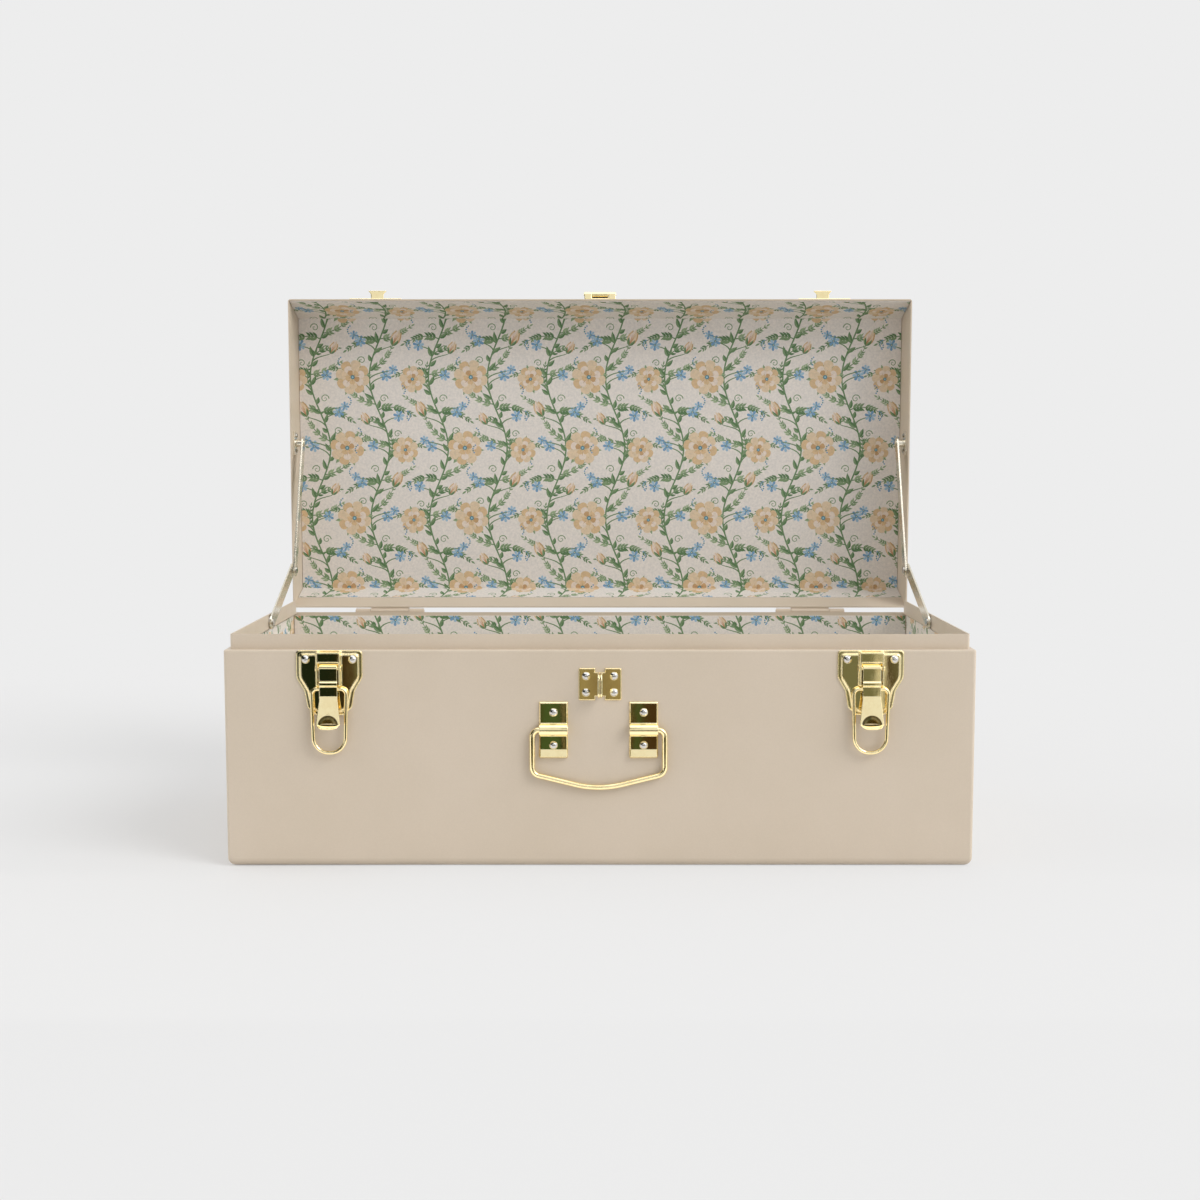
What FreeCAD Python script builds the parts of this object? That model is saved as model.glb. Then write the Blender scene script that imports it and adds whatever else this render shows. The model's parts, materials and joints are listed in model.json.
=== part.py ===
import FreeCAD, Part

import math
import os

import Sketcher
from FreeCAD import Placement, Rotation, Vector

# A steel storage trunk with its lid standing open.
# Millimetres, X to the right, Y to the back, Z up, origin in the middle of the base on the floor.

SIZES = [
    # The tray: a folded steel box with a ledge and a raised rim on its front and sides
    ("body_length", 533),
    ("body_depth", 265),
    ("body_height", 156),
    ("steel", 1),
    ("body_corner_radius", 2.5),
    ("base_edge_radius", 6),
    ("ledge_radius", 1.2),
    ("rim_height", 10.6),
    ("rim_step_side", 3.6),
    ("rim_step_front", 6.4),
    ("rim_corner_radius", 2),
    ("rim_back_step", 4.6),
    # The lid: front and hinge side walls lean inwards, end walls are straight
    ("lid_end_step", 0.5),
    ("lid_front_step", 1),
    ("lid_height", 43.5),
    ("lid_lean", 12),
    ("lid_edge_radius", 2.2),
    ("lid_gap", 0.4),
    ("lid_open_angle", 90),
    # Printed lining boards
    ("lining", 0.8),
    ("lining_drop", 3),
    ("lining_end_gap", 0.4),
    ("lining_bare_band", 20),
    ("lining_rim_gap", 1.2),
    # Hinges on the back
    ("hinge_setback", 3.2),
    ("hinge_from_end", 84.5),
    ("hinge_length", 58.5),
    ("hinge_end_knuckle", 12.5),
    ("hinge_knuckle_radius", 2.4),
    ("hinge_pin_radius", 1.2),
    ("hinge_leaf", 1.2),
    ("hinge_leaf_width", 22),
    ("hinge_knuckle_gap", 0.4),
    ("hinge_rivet_spread", 20),
    ("hinge_pin_overhang", 0.5),
    # Dome headed rivets
    ("rivet_radius", 3),
    ("rivet_dome", 1.9),
    ("rivet_low_dome", 1),
    ("rivet_shank", 1.5),
    ("rivet_clearance", 0.05),
    # Draw latches on the front
    ("latch_from_end", 75),
    ("latch_half_width", 23.4),
    ("latch_height", 46.3),
    ("latch_straight", 19.7),
    ("latch_waist_half", 17.8),
    ("latch_waist_drop", 29),
    ("latch_foot_half", 15.6),
    ("latch_foot_drop", 41.5),
    ("latch_toe_half", 9.5),
    ("latch_top_radius", 2.5),
    ("latch_waist_radius", 9),
    ("latch_foot_radius", 4),
    ("latch_plate", 0.9),
    ("latch_field", 0.9),
    ("latch_border", 2.6),
    ("latch_field_bevel", 0.6),
    ("latch_rivet_place", 16.6),
    ("latch_rivet_drop", 6.4),
    ("cheek_half", 8.6),
    ("cheek", 1.4),
    ("cheek_top_drop", 0.8),
    ("cheek_height", 24.2),
    ("cheek_reach", 7.2),
    ("hood_height", 7.6),
    ("hood", 1),
    ("hood_bevel", 0.5),
    # The lever of a latch
    ("lever_pivot_drop", 12.5),
    ("lever_pivot_reach", 4.7),
    ("lever_pin_radius", 1.2),
    ("lever_pin_head_radius", 1.9),
    ("lever_pin_head", 0.6),
    ("lever_knuckle_radius", 2.5),
    ("lever_half_width", 6.4),
    ("lever_metal", 1.2),
    ("lever_ridge_drop", 23.4),
    ("lever_ridge", 0.9),
    ("lever_ridge_half", 1),
    ("lever_bend_drop", 32),
    ("lever_face_drop", 33.6),
    ("lever_face_reach", 7.4),
    ("lever_face_end_drop", 51.8),
    ("lever_face_end_reach", 10.4),
    ("lever_flare_half", 8.5),
    ("lever_flare_radius", 30),
    ("lip_half", 5.2),
    ("lip_radius", 8),
    ("lip_reach", 3.4),
    ("lip_drop", 2),
    ("scoop_radius", 7.4),
    ("scoop_offset", 3.1),
    ("flange", 1),
    ("flange_height", 6.4),
    ("flange_root", 2.4),
    # The wire loop of a latch
    ("loop_pivot_drop", 27.1),
    ("loop_pivot_reach", 4.2),
    ("loop_wire_radius", 1.4),
    ("loop_half_width", 12.3),
    ("loop_end_radius", 11.1),
    ("loop_tip_radius", 10.7),
    ("loop_end_drop", 61.7),
    ("loop_corner_radius", 4),
    ("wire_clearance", 0.08),
    # The padlock staple
    ("staple_drop", 24.3),
    ("staple_half_width", 15.2),
    ("staple_half_height", 11.55),
    ("staple_neck_half", 3.4),
    ("staple_neck_half_height", 8.5),
    ("staple_plate", 1),
    ("staple_corner_radius", 1.2),
    ("staple_rivet_place", 9.9),
    ("staple_rivet_rise", 5.85),
    ("staple_tab", 1.1),
    ("staple_tab_gap", 0.6),
    ("staple_tab_reach", 14.5),
    ("staple_tab_radius", 4),
    ("staple_hole_radius", 3.3),
    ("staple_hole_reach", 9.6),
    # The hasp on the lid
    ("hasp_width", 26.6),
    ("hasp_pivot_reach", 3),
    ("hasp_pivot_rise", 4),
    ("hasp_knuckle_radius", 2.4),
    ("hasp_pin_radius", 1.1),
    ("hasp_end_knuckle", 6),
    ("hasp_knuckle_gap", 0.3),
    ("hasp_leaf", 1),
    ("hasp_leaf_length", 16),
    ("hasp_strap", 1.2),
    ("hasp_strap_width", 21),
    ("hasp_strap_length", 42.3),
    ("hasp_strap_radius", 5),
    ("hasp_slot_width", 5),
    ("hasp_slot_height", 21),
    ("hasp_rivet_spread", 7.5),
    ("hasp_rivet_rise", 14),
    # Strikes on the lid, which the wire loops pull down
    ("strike_width", 44),
    ("strike_plate", 1),
    ("strike_start", 1),
    ("strike_length", 19),
    ("strike_rivet_spread", 15),
    ("strike_rivet_rise", 9),
    ("strike_stem_half", 5.4),
    ("strike_lip_half", 7.6),
    ("strike_hook", 1.3),
    ("strike_lip_height", 4.2),
    ("strike_play", 0.3),
    ("strike_stem_drop", 2.2),
    # The carrying handle
    ("handle_shift", -1),
    ("handle_drop", 56.6),
    ("handle_axis_reach", 2.9),
    ("handle_wire_radius", 2),
    ("handle_half_width", 47.1),
    ("handle_shoulder_radius", 5),
    ("handle_elbow_drop", 31.8),
    ("handle_elbow_radius", 6),
    ("handle_middle_drop", 43.4),
    ("handle_middle_radius", 70),
    ("bracket_place", 32),
    ("bracket_half_width", 10.15),
    ("bracket_top", 19.7),
    ("bracket_bottom", 20.7),
    ("bracket_metal", 1.8),
    ("bracket_saddle_radius", 4.5),
    ("bracket_lip_drop", 14.2),
    ("bracket_lip", 1.6),
    ("bracket_lip_edge", 1.2),
    ("bracket_bevel", 0.8),
    ("bracket_rivet_top", 12.3),
    ("bracket_rivet_bottom", 11.2),
    # Two link lid stays, one at each end, measured from the hinge axis
    ("stay_rim_gap", 1.2),
    ("stay_link_gap", 1.2),
    ("stay_metal", 1.4),
    ("stay_half_width", 5.5),
    ("stay_pin_radius", 2),
    ("stay_head_radius", 3),
    ("stay_body_forward", 124),
    ("stay_body_rise", 4),
    ("stay_lid_forward", 145),
    ("stay_lid_rise", 14),
    ("stay_upper_length", 117),
    ("stay_lower_length", 96),
    ("stay_washer_radius", 4.2),
    ("stay_washer_gap", 0.3),
    ("stay_head", 0.8),
    ("stay_dome", 1.1),
    ("stay_tail", 0.6),
    ("stay_tail_radius", 2.8),
    ("stay_bracket_length", 20),
    ("stay_bracket_width", 12),
    ("stay_bracket_plate", 1.2),
    ("stay_bracket_offset", 0.5),
    ("stay_pedestal_radius", 3.2),
    ("stay_bracket_rivet_spread", 6.6),
    ("stay_bracket_rivet_radius", 2.2),
    ("stay_bracket_rivet_dome", 1.3),
    # How far a cut runs past what it cuts
    ("overrun", 1),
]

X_AXIS = Vector(1, 0, 0)
Y_AXIS = Vector(0, 1, 0)
Z_AXIS = Vector(0, 0, 1)
SIDES = [("left", -1), ("right", 1)]
MATCH = 0.01

doc = FreeCAD.newDocument("storage_trunk")
sheet = doc.addObject("Spreadsheet::Sheet", "sizes")
pieces = []


class Size:
    """A length or a ratio: its number now, and the formula that gives it from the sheet."""

    def __init__(self, number, formula):
        self.number = float(number)
        self.formula = formula

    def __add__(self, other):
        other = as_size(other)
        return Size(self.number + other.number, f"({self.formula} + {other.formula})")

    def __sub__(self, other):
        other = as_size(other)
        return Size(self.number - other.number, f"({self.formula} - {other.formula})")

    def __mul__(self, other):
        other = as_size(other)
        return Size(self.number * other.number, f"({self.formula} * {other.formula})")

    def __truediv__(self, other):
        other = as_size(other)
        return Size(self.number / other.number, f"({self.formula} / {other.formula})")

    def __neg__(self):
        return Size(-self.number, f"(0 - {self.formula})")


def as_size(value):
    return value if isinstance(value, Size) else Size(value, repr(value))


def hypotenuse(a, b):
    return Size(math.hypot(a.number, b.number), f"sqrt({a.formula} ^ 2 + {b.formula} ^ 2)")


def fill_sheet():
    for row, (name, value) in enumerate(SIZES, start=1):
        sheet.set(f"A{row}", name)
        sheet.set(f"B{row}", str(value))
        sheet.setAlias(f"B{row}", name)
    doc.recompute()
    return {name: Size(value, f"sizes.{name}") for name, value in SIZES}


size = fill_sheet()
zero = as_size(0)


def bind(thing, **properties):
    for name, value in properties.items():
        thing.setExpression(name, as_size(value).formula)


def put(thing, x=zero, y=zero, z=zero, turn=None):
    """Bind where a piece stands. A turn keeps its own rotation."""
    if turn is not None:
        thing.Placement = Placement(Vector(), turn)
    for axis, value in zip("xyz", (x, y, z)):
        thing.setExpression(f"Placement.Base.{axis}", as_size(value).formula)


def keep(thing, label):
    thing.Label = label
    pieces.append(thing)
    return thing


# Bodies, sketches and their features


def new_body(name):
    return doc.addObject("PartDesign::Body", name)


def new_sketch(body, role, lift=None):
    plane = [item for item in body.Origin.OriginFeatures if item.Role == role][0]
    sketch = body.newObject("Sketcher::SketchObject", "outline")
    sketch.AttachmentSupport = (plane, [""])
    sketch.MapMode = "FlatFace"
    if lift is not None:
        sketch.setExpression("AttachmentOffset.Base.z", as_size(lift).formula)
    return sketch


def hold(sketch, kind, geometry, vertex, value):
    """Hold a point of the sketch at a distance from its origin along one axis."""
    value = as_size(value)
    index = sketch.addConstraint(Sketcher.Constraint(kind, -1, 1, geometry, vertex, value.number))
    sketch.setExpression(f"Constraints[{index}]", value.formula)


def hold_point(sketch, geometry, vertex, point):
    hold(sketch, "DistanceX", geometry, vertex, point[0])
    hold(sketch, "DistanceY", geometry, vertex, point[1])


def hold_radius(sketch, geometry, radius):
    radius = as_size(radius)
    index = sketch.addConstraint(Sketcher.Constraint("Radius", geometry, radius.number))
    sketch.setExpression(f"Constraints[{index}]", radius.formula)


def flat(point):
    return Vector(as_size(point[0]).number, as_size(point[1]).number, 0)


def corner_arc(before, corner, after, radius):
    """The arc that rounds a corner: where it starts and ends, and its middle and centre."""
    towards_before = (before - corner).normalize()
    towards_after = (after - corner).normalize()
    half = towards_before.getAngle(towards_after) / 2
    reach = radius / math.tan(half)
    bisector = (towards_before + towards_after).normalize()
    centre = corner + bisector * (radius / math.sin(half))
    middle = centre - bisector * radius
    return corner + towards_before * reach, corner + towards_after * reach, middle, centre


def draw_path(sketch, corners, closed=True):
    """A chain of lines through corners (x, y, radius), with an arc at each corner that has a radius."""
    count = len(corners)
    points = [flat(corner) for corner in corners]
    starts = list(points)
    ends = list(points)
    arcs = {}
    for index, corner in enumerate(corners):
        inner = closed or 0 < index < count - 1
        if len(corner) > 2 and inner:
            before = points[index - 1]
            after = points[(index + 1) % count]
            ends[index], starts[index], middle, centre = corner_arc(
                before, points[index], after, as_size(corner[2]).number
            )
            arcs[index] = (middle, centre)
    line_count = count if closed else count - 1
    lines = []
    for index in range(line_count):
        line = Part.LineSegment(starts[index], ends[(index + 1) % count])
        lines.append(sketch.addGeometry(line, False))
    for index in range(count):
        has_before = closed or index > 0
        has_after = closed or index < count - 1
        before = lines[index - 1] if has_before else None
        after = lines[index % line_count] if has_after else None
        if index in arcs:
            join_with_arc(sketch, before, after, ends[index], starts[index], arcs[index], corners[index])
        elif before is not None and after is not None:
            sketch.addConstraint(Sketcher.Constraint("Coincident", before, 2, after, 1))
            hold_point(sketch, after, 1, corners[index])
        elif after is not None:
            hold_point(sketch, after, 1, corners[index])
        else:
            hold_point(sketch, before, 2, corners[index])


def join_with_arc(sketch, before, after, start, end, arc, corner):
    """Round a corner with an arc, and hold the sharp corner as a construction point."""
    middle, centre = arc
    radius = (start - centre).Length
    turned_left = (middle - start).cross(end - middle).z > 0
    first, last = (start, end) if turned_left else (end, start)
    circle = Part.Circle(centre, Z_AXIS, radius)
    edge = Part.ArcOfCircle(circle, circle.parameter(first), circle.parameter(last))
    rounding = sketch.addGeometry(edge, False)
    start_vertex, end_vertex = (1, 2) if turned_left else (2, 1)
    sketch.addConstraint(Sketcher.Constraint("Tangent", before, 2, rounding, start_vertex))
    sketch.addConstraint(Sketcher.Constraint("Tangent", rounding, end_vertex, after, 1))
    hold_radius(sketch, rounding, corner[2])
    sharp = sketch.addGeometry(Part.Point(flat(corner)), True)
    sketch.addConstraint(Sketcher.Constraint("PointOnObject", sharp, 1, before))
    sketch.addConstraint(Sketcher.Constraint("PointOnObject", sharp, 1, after))
    hold_point(sketch, sharp, 1, corner)


def draw_circle(sketch, centre, radius):
    radius = as_size(radius)
    circle = sketch.addGeometry(Part.Circle(flat(centre), Z_AXIS, radius.number), False)
    hold_point(sketch, circle, 3, centre)
    hold_radius(sketch, circle, radius)


def box_corners(low_x, low_y, high_x, high_y, radius=None):
    corners = [(low_x, low_y), (high_x, low_y), (high_x, high_y), (low_x, high_y)]
    return [corner if radius is None else (*corner, radius) for corner in corners]


def pad(body, sketch, length, symmetric=False):
    feature = body.newObject("PartDesign::Pad", "pad")
    feature.Profile = sketch
    if symmetric:
        feature.SideType = "Symmetric"
    bind(feature, Length=length)
    body.Tip = feature
    return feature


def pocket(body, sketch, length, symmetric=False):
    before = solid_now(body).Volume
    feature = body.newObject("PartDesign::Pocket", "pocket")
    feature.Profile = sketch
    if symmetric:
        feature.SideType = "Symmetric"
    bind(feature, Length=length)
    body.Tip = feature
    if not solid_now(body).Volume < before:
        raise ValueError(f"a pocket of {body.Name} cuts nothing")
    return feature


def solid_now(body):
    doc.recompute()
    return body.Shape


def round_edges(body, chosen, radius, kind="Fillet"):
    """Round or bevel the edges of the body that the chooser picks by their middle and direction."""
    shape = solid_now(body)
    base = body.Tip
    names = []
    for index, edge in enumerate(shape.Edges, start=1):
        middle = edge.valueAt((edge.FirstParameter + edge.LastParameter) / 2)
        if chosen(edge, middle):
            names.append(f"Edge{index}")
    if not names:
        raise ValueError(f"{body.Name} has no such edge")
    feature = body.newObject(f"PartDesign::{kind}", "rounding")
    feature.Base = (base, names)
    if kind == "Fillet":
        bind(feature, Radius=radius)
    else:
        bind(feature, Size=radius)
    body.Tip = feature
    return feature


def close(a, b):
    return abs(a - b) < MATCH


def solid_profile(name, role, corners, length, symmetric=True):
    body = new_body(name)
    sketch = new_sketch(body, role)
    draw_path(sketch, corners)
    pad(body, sketch, length, symmetric)
    return body


def bent_wire(name, corners, closed, section_x, section_z, radius):
    """Round wire along a path in the XZ plane, its section drawn where the path runs along X."""
    body = new_body(name)
    path = new_sketch(body, "XZ_Plane")
    draw_path(path, corners, closed)
    section = new_sketch(body, "YZ_Plane", section_x)
    draw_circle(section, (zero, section_z), radius)
    doc.recompute()
    pipe = body.newObject("PartDesign::AdditivePipe", "wire")
    pipe.Profile = section
    pipe.Spine = (path, [f"Edge{index + 1}" for index in range(len(path.Shape.Edges))])
    body.Tip = pipe
    return body


# Primitives and booleans


def block(name, x, y, z, low_x, low_y, low_z):
    box = doc.addObject("Part::Box", name)
    bind(box, Length=x, Width=y, Height=z)
    put(box, low_x, low_y, low_z)
    return box


def rod(name, radius, length, x=zero, y=zero, z=zero, direction=X_AXIS):
    """A cylinder that starts at a point and runs along a direction."""
    cylinder = doc.addObject("Part::Cylinder", name)
    bind(cylinder, Radius=radius, Height=length)
    put(cylinder, x, y, z, Rotation(Z_AXIS, direction))
    return cylinder


def join(name, things):
    fuse = doc.addObject("Part::MultiFuse", name)
    fuse.Shapes = things
    fuse.Refine = True
    return fuse


def cut(name, base, tool):
    result = doc.addObject("Part::Cut", name)
    result.Base = base
    result.Tool = tool
    return result


def group(name, things):
    compound = doc.addObject("Part::Compound", name)
    compound.Links = things
    return compound


def drill(name, base, seats, radius, depth):
    """Cut a round hole at each seat, (x, y, z, outward direction), to a depth below it."""
    drills = []
    for x, y, z, outward in seats:
        out = [size["overrun"] * axis for axis in outward]
        start = (as_size(x) + out[0], as_size(y) + out[1], as_size(z) + out[2])
        inward = Vector(*outward) * -1
        drills.append(rod(f"{name}_drill", radius, depth + size["overrun"], *start, inward))
    return cut(name, base, group(f"{name}_drills", drills))


def rivet_solid(head_radius, dome, shank_radius, grip):
    """A dome headed rivet, its head above the origin and its shank below."""
    rim = Vector(head_radius, 0, 0)
    crown = Vector(0, 0, dome)
    sphere_radius = (head_radius**2 + dome**2) / (2 * dome)
    sphere_centre = dome - sphere_radius
    half_height = dome / 2
    bulge = Vector(math.sqrt(sphere_radius**2 - (half_height - sphere_centre) ** 2), 0, half_height)
    outline = [
        Part.LineSegment(Vector(), rim).toShape(),
        Part.Arc(rim, bulge, crown).toShape(),
        Part.LineSegment(crown, Vector()).toShape(),
    ]
    head = Part.Face(Part.Wire(outline)).revolve(Vector(), Z_AXIS, 360)
    shank = Part.makeCylinder(shank_radius, grip, Vector(), -Z_AXIS)
    return head.fuse(shank).removeSplitter()


def rivets(label, seats, grip, dome="rivet_dome", radius="rivet_radius", shank="rivet_shank", turn=None):
    """One group of alike rivets, each on its seat (x, y, z, outward direction)."""
    solid = rivet_solid(size[radius].number, size[dome].number, size[shank].number, grip.number)
    copies = []
    for x, y, z, outward in seats:
        base = Vector(as_size(x).number, as_size(y).number, as_size(z).number)
        copy = solid.copy()
        copy.Placement = Placement(base, Rotation(Z_AXIS, Vector(*outward)))
        copies.append(copy)
    feature = doc.addObject("Part::Feature", label)
    feature.Shape = Part.makeCompound(copies)
    if turn is not None:
        put(feature, zero, turn[0], turn[1], turn[2])
    return keep(feature, label)


# Places that several pieces share

half_length = size["body_length"] / 2
half_depth = size["body_depth"] / 2
front = -half_depth
hinge_place = half_length - size["hinge_from_end"]
latch_place = half_length - size["latch_from_end"]
rivet_hole = size["rivet_shank"] + size["rivet_clearance"]
hinge_y = half_depth + size["hinge_setback"]
hinge_z = size["body_height"] + size["lid_gap"]
lid_turn = (hinge_y, hinge_z, Rotation(X_AXIS, -size["lid_open_angle"].number))

# In the lid's own frame the hinge axis is X, the lid is shut and its rim lies at z = 0
lid_half_length = half_length - size["lid_end_step"]
lid_back = -size["hinge_setback"]
lid_front = front + size["lid_front_step"] - hinge_y
lid_slope = size["lid_lean"] / size["lid_height"]
lid_wall_run = hypotenuse(size["lid_lean"], size["lid_height"])
lid_along = (size["lid_lean"] / lid_wall_run, size["lid_height"] / lid_wall_run)
front_out = (0, -lid_along[1].number, lid_along[0].number)
back_out = (0, lid_along[1].number, lid_along[0].number)
wall_across = size["steel"] / lid_along[1]
lining_across = size["lining"] / lid_along[1]
lid_inner_height = size["lid_height"] - size["steel"]
lid_inner_half = lid_half_length - size["steel"]


def front_wall(run, lift=zero):
    """A point of the lid's front wall: how far up the wall, and how far off its outer face."""
    y = lid_front + lid_along[0] * run - lid_along[1] * lift
    z = lid_along[1] * run + lid_along[0] * lift
    return y, z


def back_wall(run, lift=zero):
    y = lid_back - lid_along[0] * run + lid_along[1] * lift
    z = lid_along[1] * run + lid_along[0] * lift
    return y, z


def on_lid(thing, label):
    put(thing, zero, lid_turn[0], lid_turn[1], lid_turn[2])
    return keep(thing, label)


def latch_seats():
    drop = size["body_height"] - size["latch_rivet_drop"]
    seats = []
    for _, side in SIDES:
        for way in (-1, 1):
            x = latch_place * side + size["latch_rivet_place"] * way
            seats.append((x, drop))
    return seats


def staple_seats():
    middle = size["body_height"] - size["staple_drop"]
    seats = []
    for way in (-1, 1):
        for rise in (-1, 1):
            seats.append((size["staple_rivet_place"] * way, middle + size["staple_rivet_rise"] * rise))
    return seats


def bracket_seats():
    middle = size["body_height"] - size["handle_drop"]
    seats = []
    for _, side in SIDES:
        x = size["handle_shift"] + size["bracket_place"] * side
        seats.append((x, middle + size["bracket_rivet_top"]))
        seats.append((x, middle - size["bracket_rivet_bottom"]))
    return seats


def hinge_seats_on_body():
    drop = hinge_z - size["hinge_knuckle_radius"] - size["hinge_leaf_width"] / 2
    seats = []
    for _, side in SIDES:
        for way in (-1, 0, 1):
            x = hinge_place * side + size["hinge_rivet_spread"] * way
            seats.append((x, drop))
    return seats


def hinge_seats_on_lid(lift):
    run = size["hinge_knuckle_radius"] + size["hinge_leaf_width"] / 2
    y, z = back_wall(run, lift)
    seats = []
    for _, side in SIDES:
        for way in (-1, 0, 1):
            x = hinge_place * side + size["hinge_rivet_spread"] * way
            seats.append((x, y, z, back_out))
    return seats


def strike_seats(lift):
    y, z = front_wall(size["strike_rivet_rise"], lift)
    seats = []
    for _, side in SIDES:
        for way in (-1, 1):
            x = latch_place * side + size["strike_rivet_spread"] * way
            seats.append((x, y, z, front_out))
    return seats


def hasp_seats(lift):
    y, z = front_wall(size["hasp_rivet_rise"], lift)
    return [(size["hasp_rivet_spread"] * way, y, z, front_out) for way in (-1, 1)]


def stay_bracket_seats(depth):
    """Rivets of the lid brackets of the stays, at a distance from the middle of the trunk."""
    z = size["stay_lid_rise"] + size["stay_bracket_offset"] + size["stay_bracket_width"] / 4
    seats = []
    for _, side in SIDES:
        for way in (-1, 1):
            y = -size["stay_lid_forward"] + size["stay_bracket_rivet_spread"] * way
            seats.append((depth * side, y, z, (-side, 0, 0)))
    return seats


# The tray


def make_body_shell():
    body = new_body("tray_blank")
    sketch = new_sketch(body, "XY_Plane")
    draw_path(sketch, box_corners(-half_length, front, half_length, half_depth, size["body_corner_radius"]))
    pad(body, sketch, size["body_height"])
    low = size["body_height"].number / 2
    round_edges(body, lambda edge, middle: close(middle.z, 0), size["base_edge_radius"])
    round_edges(
        body,
        lambda edge, middle: close(middle.z, size["body_height"].number) and middle.z > low,
        size["ledge_radius"],
    )

    # The raised rim stands on the ledge
    rim_half = half_length - size["rim_step_side"]
    rim_front = front + size["rim_step_front"]
    rim_back = half_depth - size["rim_back_step"]
    rim = new_sketch(body, "XY_Plane", size["body_height"] / 2)
    draw_path(rim, box_corners(-rim_half, rim_front, rim_half, rim_back, size["rim_corner_radius"]))
    pad(body, rim, size["body_height"] / 2 + size["rim_height"])

    # The mouth inside the rim runs to the back wall, which has no rim
    inner_half = half_length - size["steel"]
    inner_depth = half_depth - size["steel"]
    mouth = new_sketch(body, "XY_Plane", size["body_height"] + size["rim_height"] + size["overrun"])
    mouth_half = rim_half - size["steel"]
    draw_path(mouth, box_corners(-mouth_half, rim_front + size["steel"], mouth_half, inner_depth))
    pocket(body, mouth, size["rim_height"] + size["steel"] + size["overrun"] * 2)

    # The hollow below the ledge has the bends that the sheet has outside
    hollow = new_body("tray_hollow")
    inner_radius = size["body_corner_radius"] - size["steel"]
    inside = new_sketch(hollow, "XY_Plane", size["steel"])
    draw_path(inside, box_corners(-inner_half, -inner_depth, inner_half, inner_depth, inner_radius))
    pad(hollow, inside, size["body_height"] - size["steel"] * 2)
    floor = size["steel"].number
    bend = size["base_edge_radius"] - size["steel"]
    round_edges(hollow, lambda edge, middle: close(middle.z, floor), bend)
    folded = cut("tray_folded", body, hollow)

    seats = [(x, front, z, (0, -1, 0)) for x, z in latch_seats() + staple_seats() + bracket_seats()]
    seats += [(x, half_depth, z, (0, 1, 0)) for x, z in hinge_seats_on_body()]
    for _, side in SIDES:
        y = hinge_y - size["stay_body_forward"]
        seats.append((rim_half * side, y, hinge_z + size["stay_body_rise"], (side, 0, 0)))
    keep(drill("tray", folded, seats, rivet_hole, size["steel"] + size["overrun"]), "body_shell")


def make_body_linings():
    inner_half = half_length - size["steel"]
    inner_depth = half_depth - size["steel"]
    bend = size["base_edge_radius"] - size["steel"]
    corner = size["body_corner_radius"] - size["steel"]
    foot = size["steel"] + bend
    height = size["body_height"] - size["lining_drop"] - foot
    for name, low in (("front", -inner_depth), ("back", inner_depth - size["lining"])):
        width = inner_half * 2 - corner * 2
        board = block(f"lining_{name}", width, size["lining"], height, corner - inner_half, low, foot)
        keep(board, f"body_lining_{name}")
    for name, low in (("left", -inner_half), ("right", inner_half - size["lining"])):
        depth = inner_depth * 2 - corner * 2
        board = block(f"lining_{name}", size["lining"], depth, height, low, corner - inner_depth, foot)
        keep(board, f"body_lining_{name}")
    inset = bend + size["lining_end_gap"]
    board = block(
        "lining_bottom",
        inner_half * 2 - inset * 2,
        inner_depth * 2 - inset * 2,
        size["lining"],
        inset - inner_half,
        inset - inner_depth,
        size["steel"],
    )
    keep(board, "body_lining_bottom")


# The lid


def lid_section(inset_across, top, overrun=zero):
    """The lid's section, its leaning walls moved in by a distance across."""
    reach_out = lid_slope * overrun
    lean = lid_slope * top
    return [
        (lid_front + inset_across - reach_out, -overrun),
        (lid_back - inset_across + reach_out, -overrun),
        (lid_back - inset_across - lean, top),
        (lid_front + inset_across + lean, top),
    ]


def make_lid_shell():
    section = lid_section(zero, size["lid_height"])
    body = solid_profile("lid_blank", "YZ_Plane", section, lid_half_length * 2)
    rim = MATCH
    round_edges(body, lambda edge, middle: middle.z > rim, size["lid_edge_radius"])
    hollow = new_sketch(body, "YZ_Plane")
    draw_path(hollow, lid_section(wall_across, lid_inner_height, size["overrun"]))
    pocket(body, hollow, lid_inner_half * 2, symmetric=True)
    seats = strike_seats(zero) + hasp_seats(zero) + hinge_seats_on_lid(zero)
    end_face = lid_half_length
    seats += [(x, y, z, (-out[0], 0, 0)) for x, y, z, out in stay_bracket_seats(end_face)]
    depth = size["steel"] + size["overrun"]
    on_lid(drill("lid", body, seats, rivet_hole, depth), "lid_shell")


def make_lid_linings():
    top = lid_inner_height
    lining = size["lining"]
    lean = lid_slope * top
    panel = [
        (lid_front + wall_across + lean, top),
        (lid_front + wall_across + lean - lid_slope * lining, top - lining),
        (lid_back - wall_across - lean + lid_slope * lining, top - lining),
        (lid_back - wall_across - lean, top),
    ]
    width = (lid_inner_half - size["lining_end_gap"]) * 2
    on_lid(solid_profile("panel_board", "YZ_Plane", panel, width), "lid_lining_panel")

    strips = [
        ("front", lid_front, 1, size["lining_rim_gap"]),
        ("hinge_side", lid_back, -1, size["lining_bare_band"]),
    ]
    for name, rim_y, way, low in strips:
        high = top - lining
        outer = rim_y + wall_across * way
        inner = outer + lining_across * way
        corners = [
            (outer + lid_slope * low * way, low),
            (outer + lid_slope * high * way, high),
            (inner + lid_slope * high * way, high),
            (inner + lid_slope * low * way, low),
        ]
        on_lid(solid_profile(f"{name}_board", "YZ_Plane", corners, width), f"lid_lining_{name}")


# Hinges, outside on the back


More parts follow.
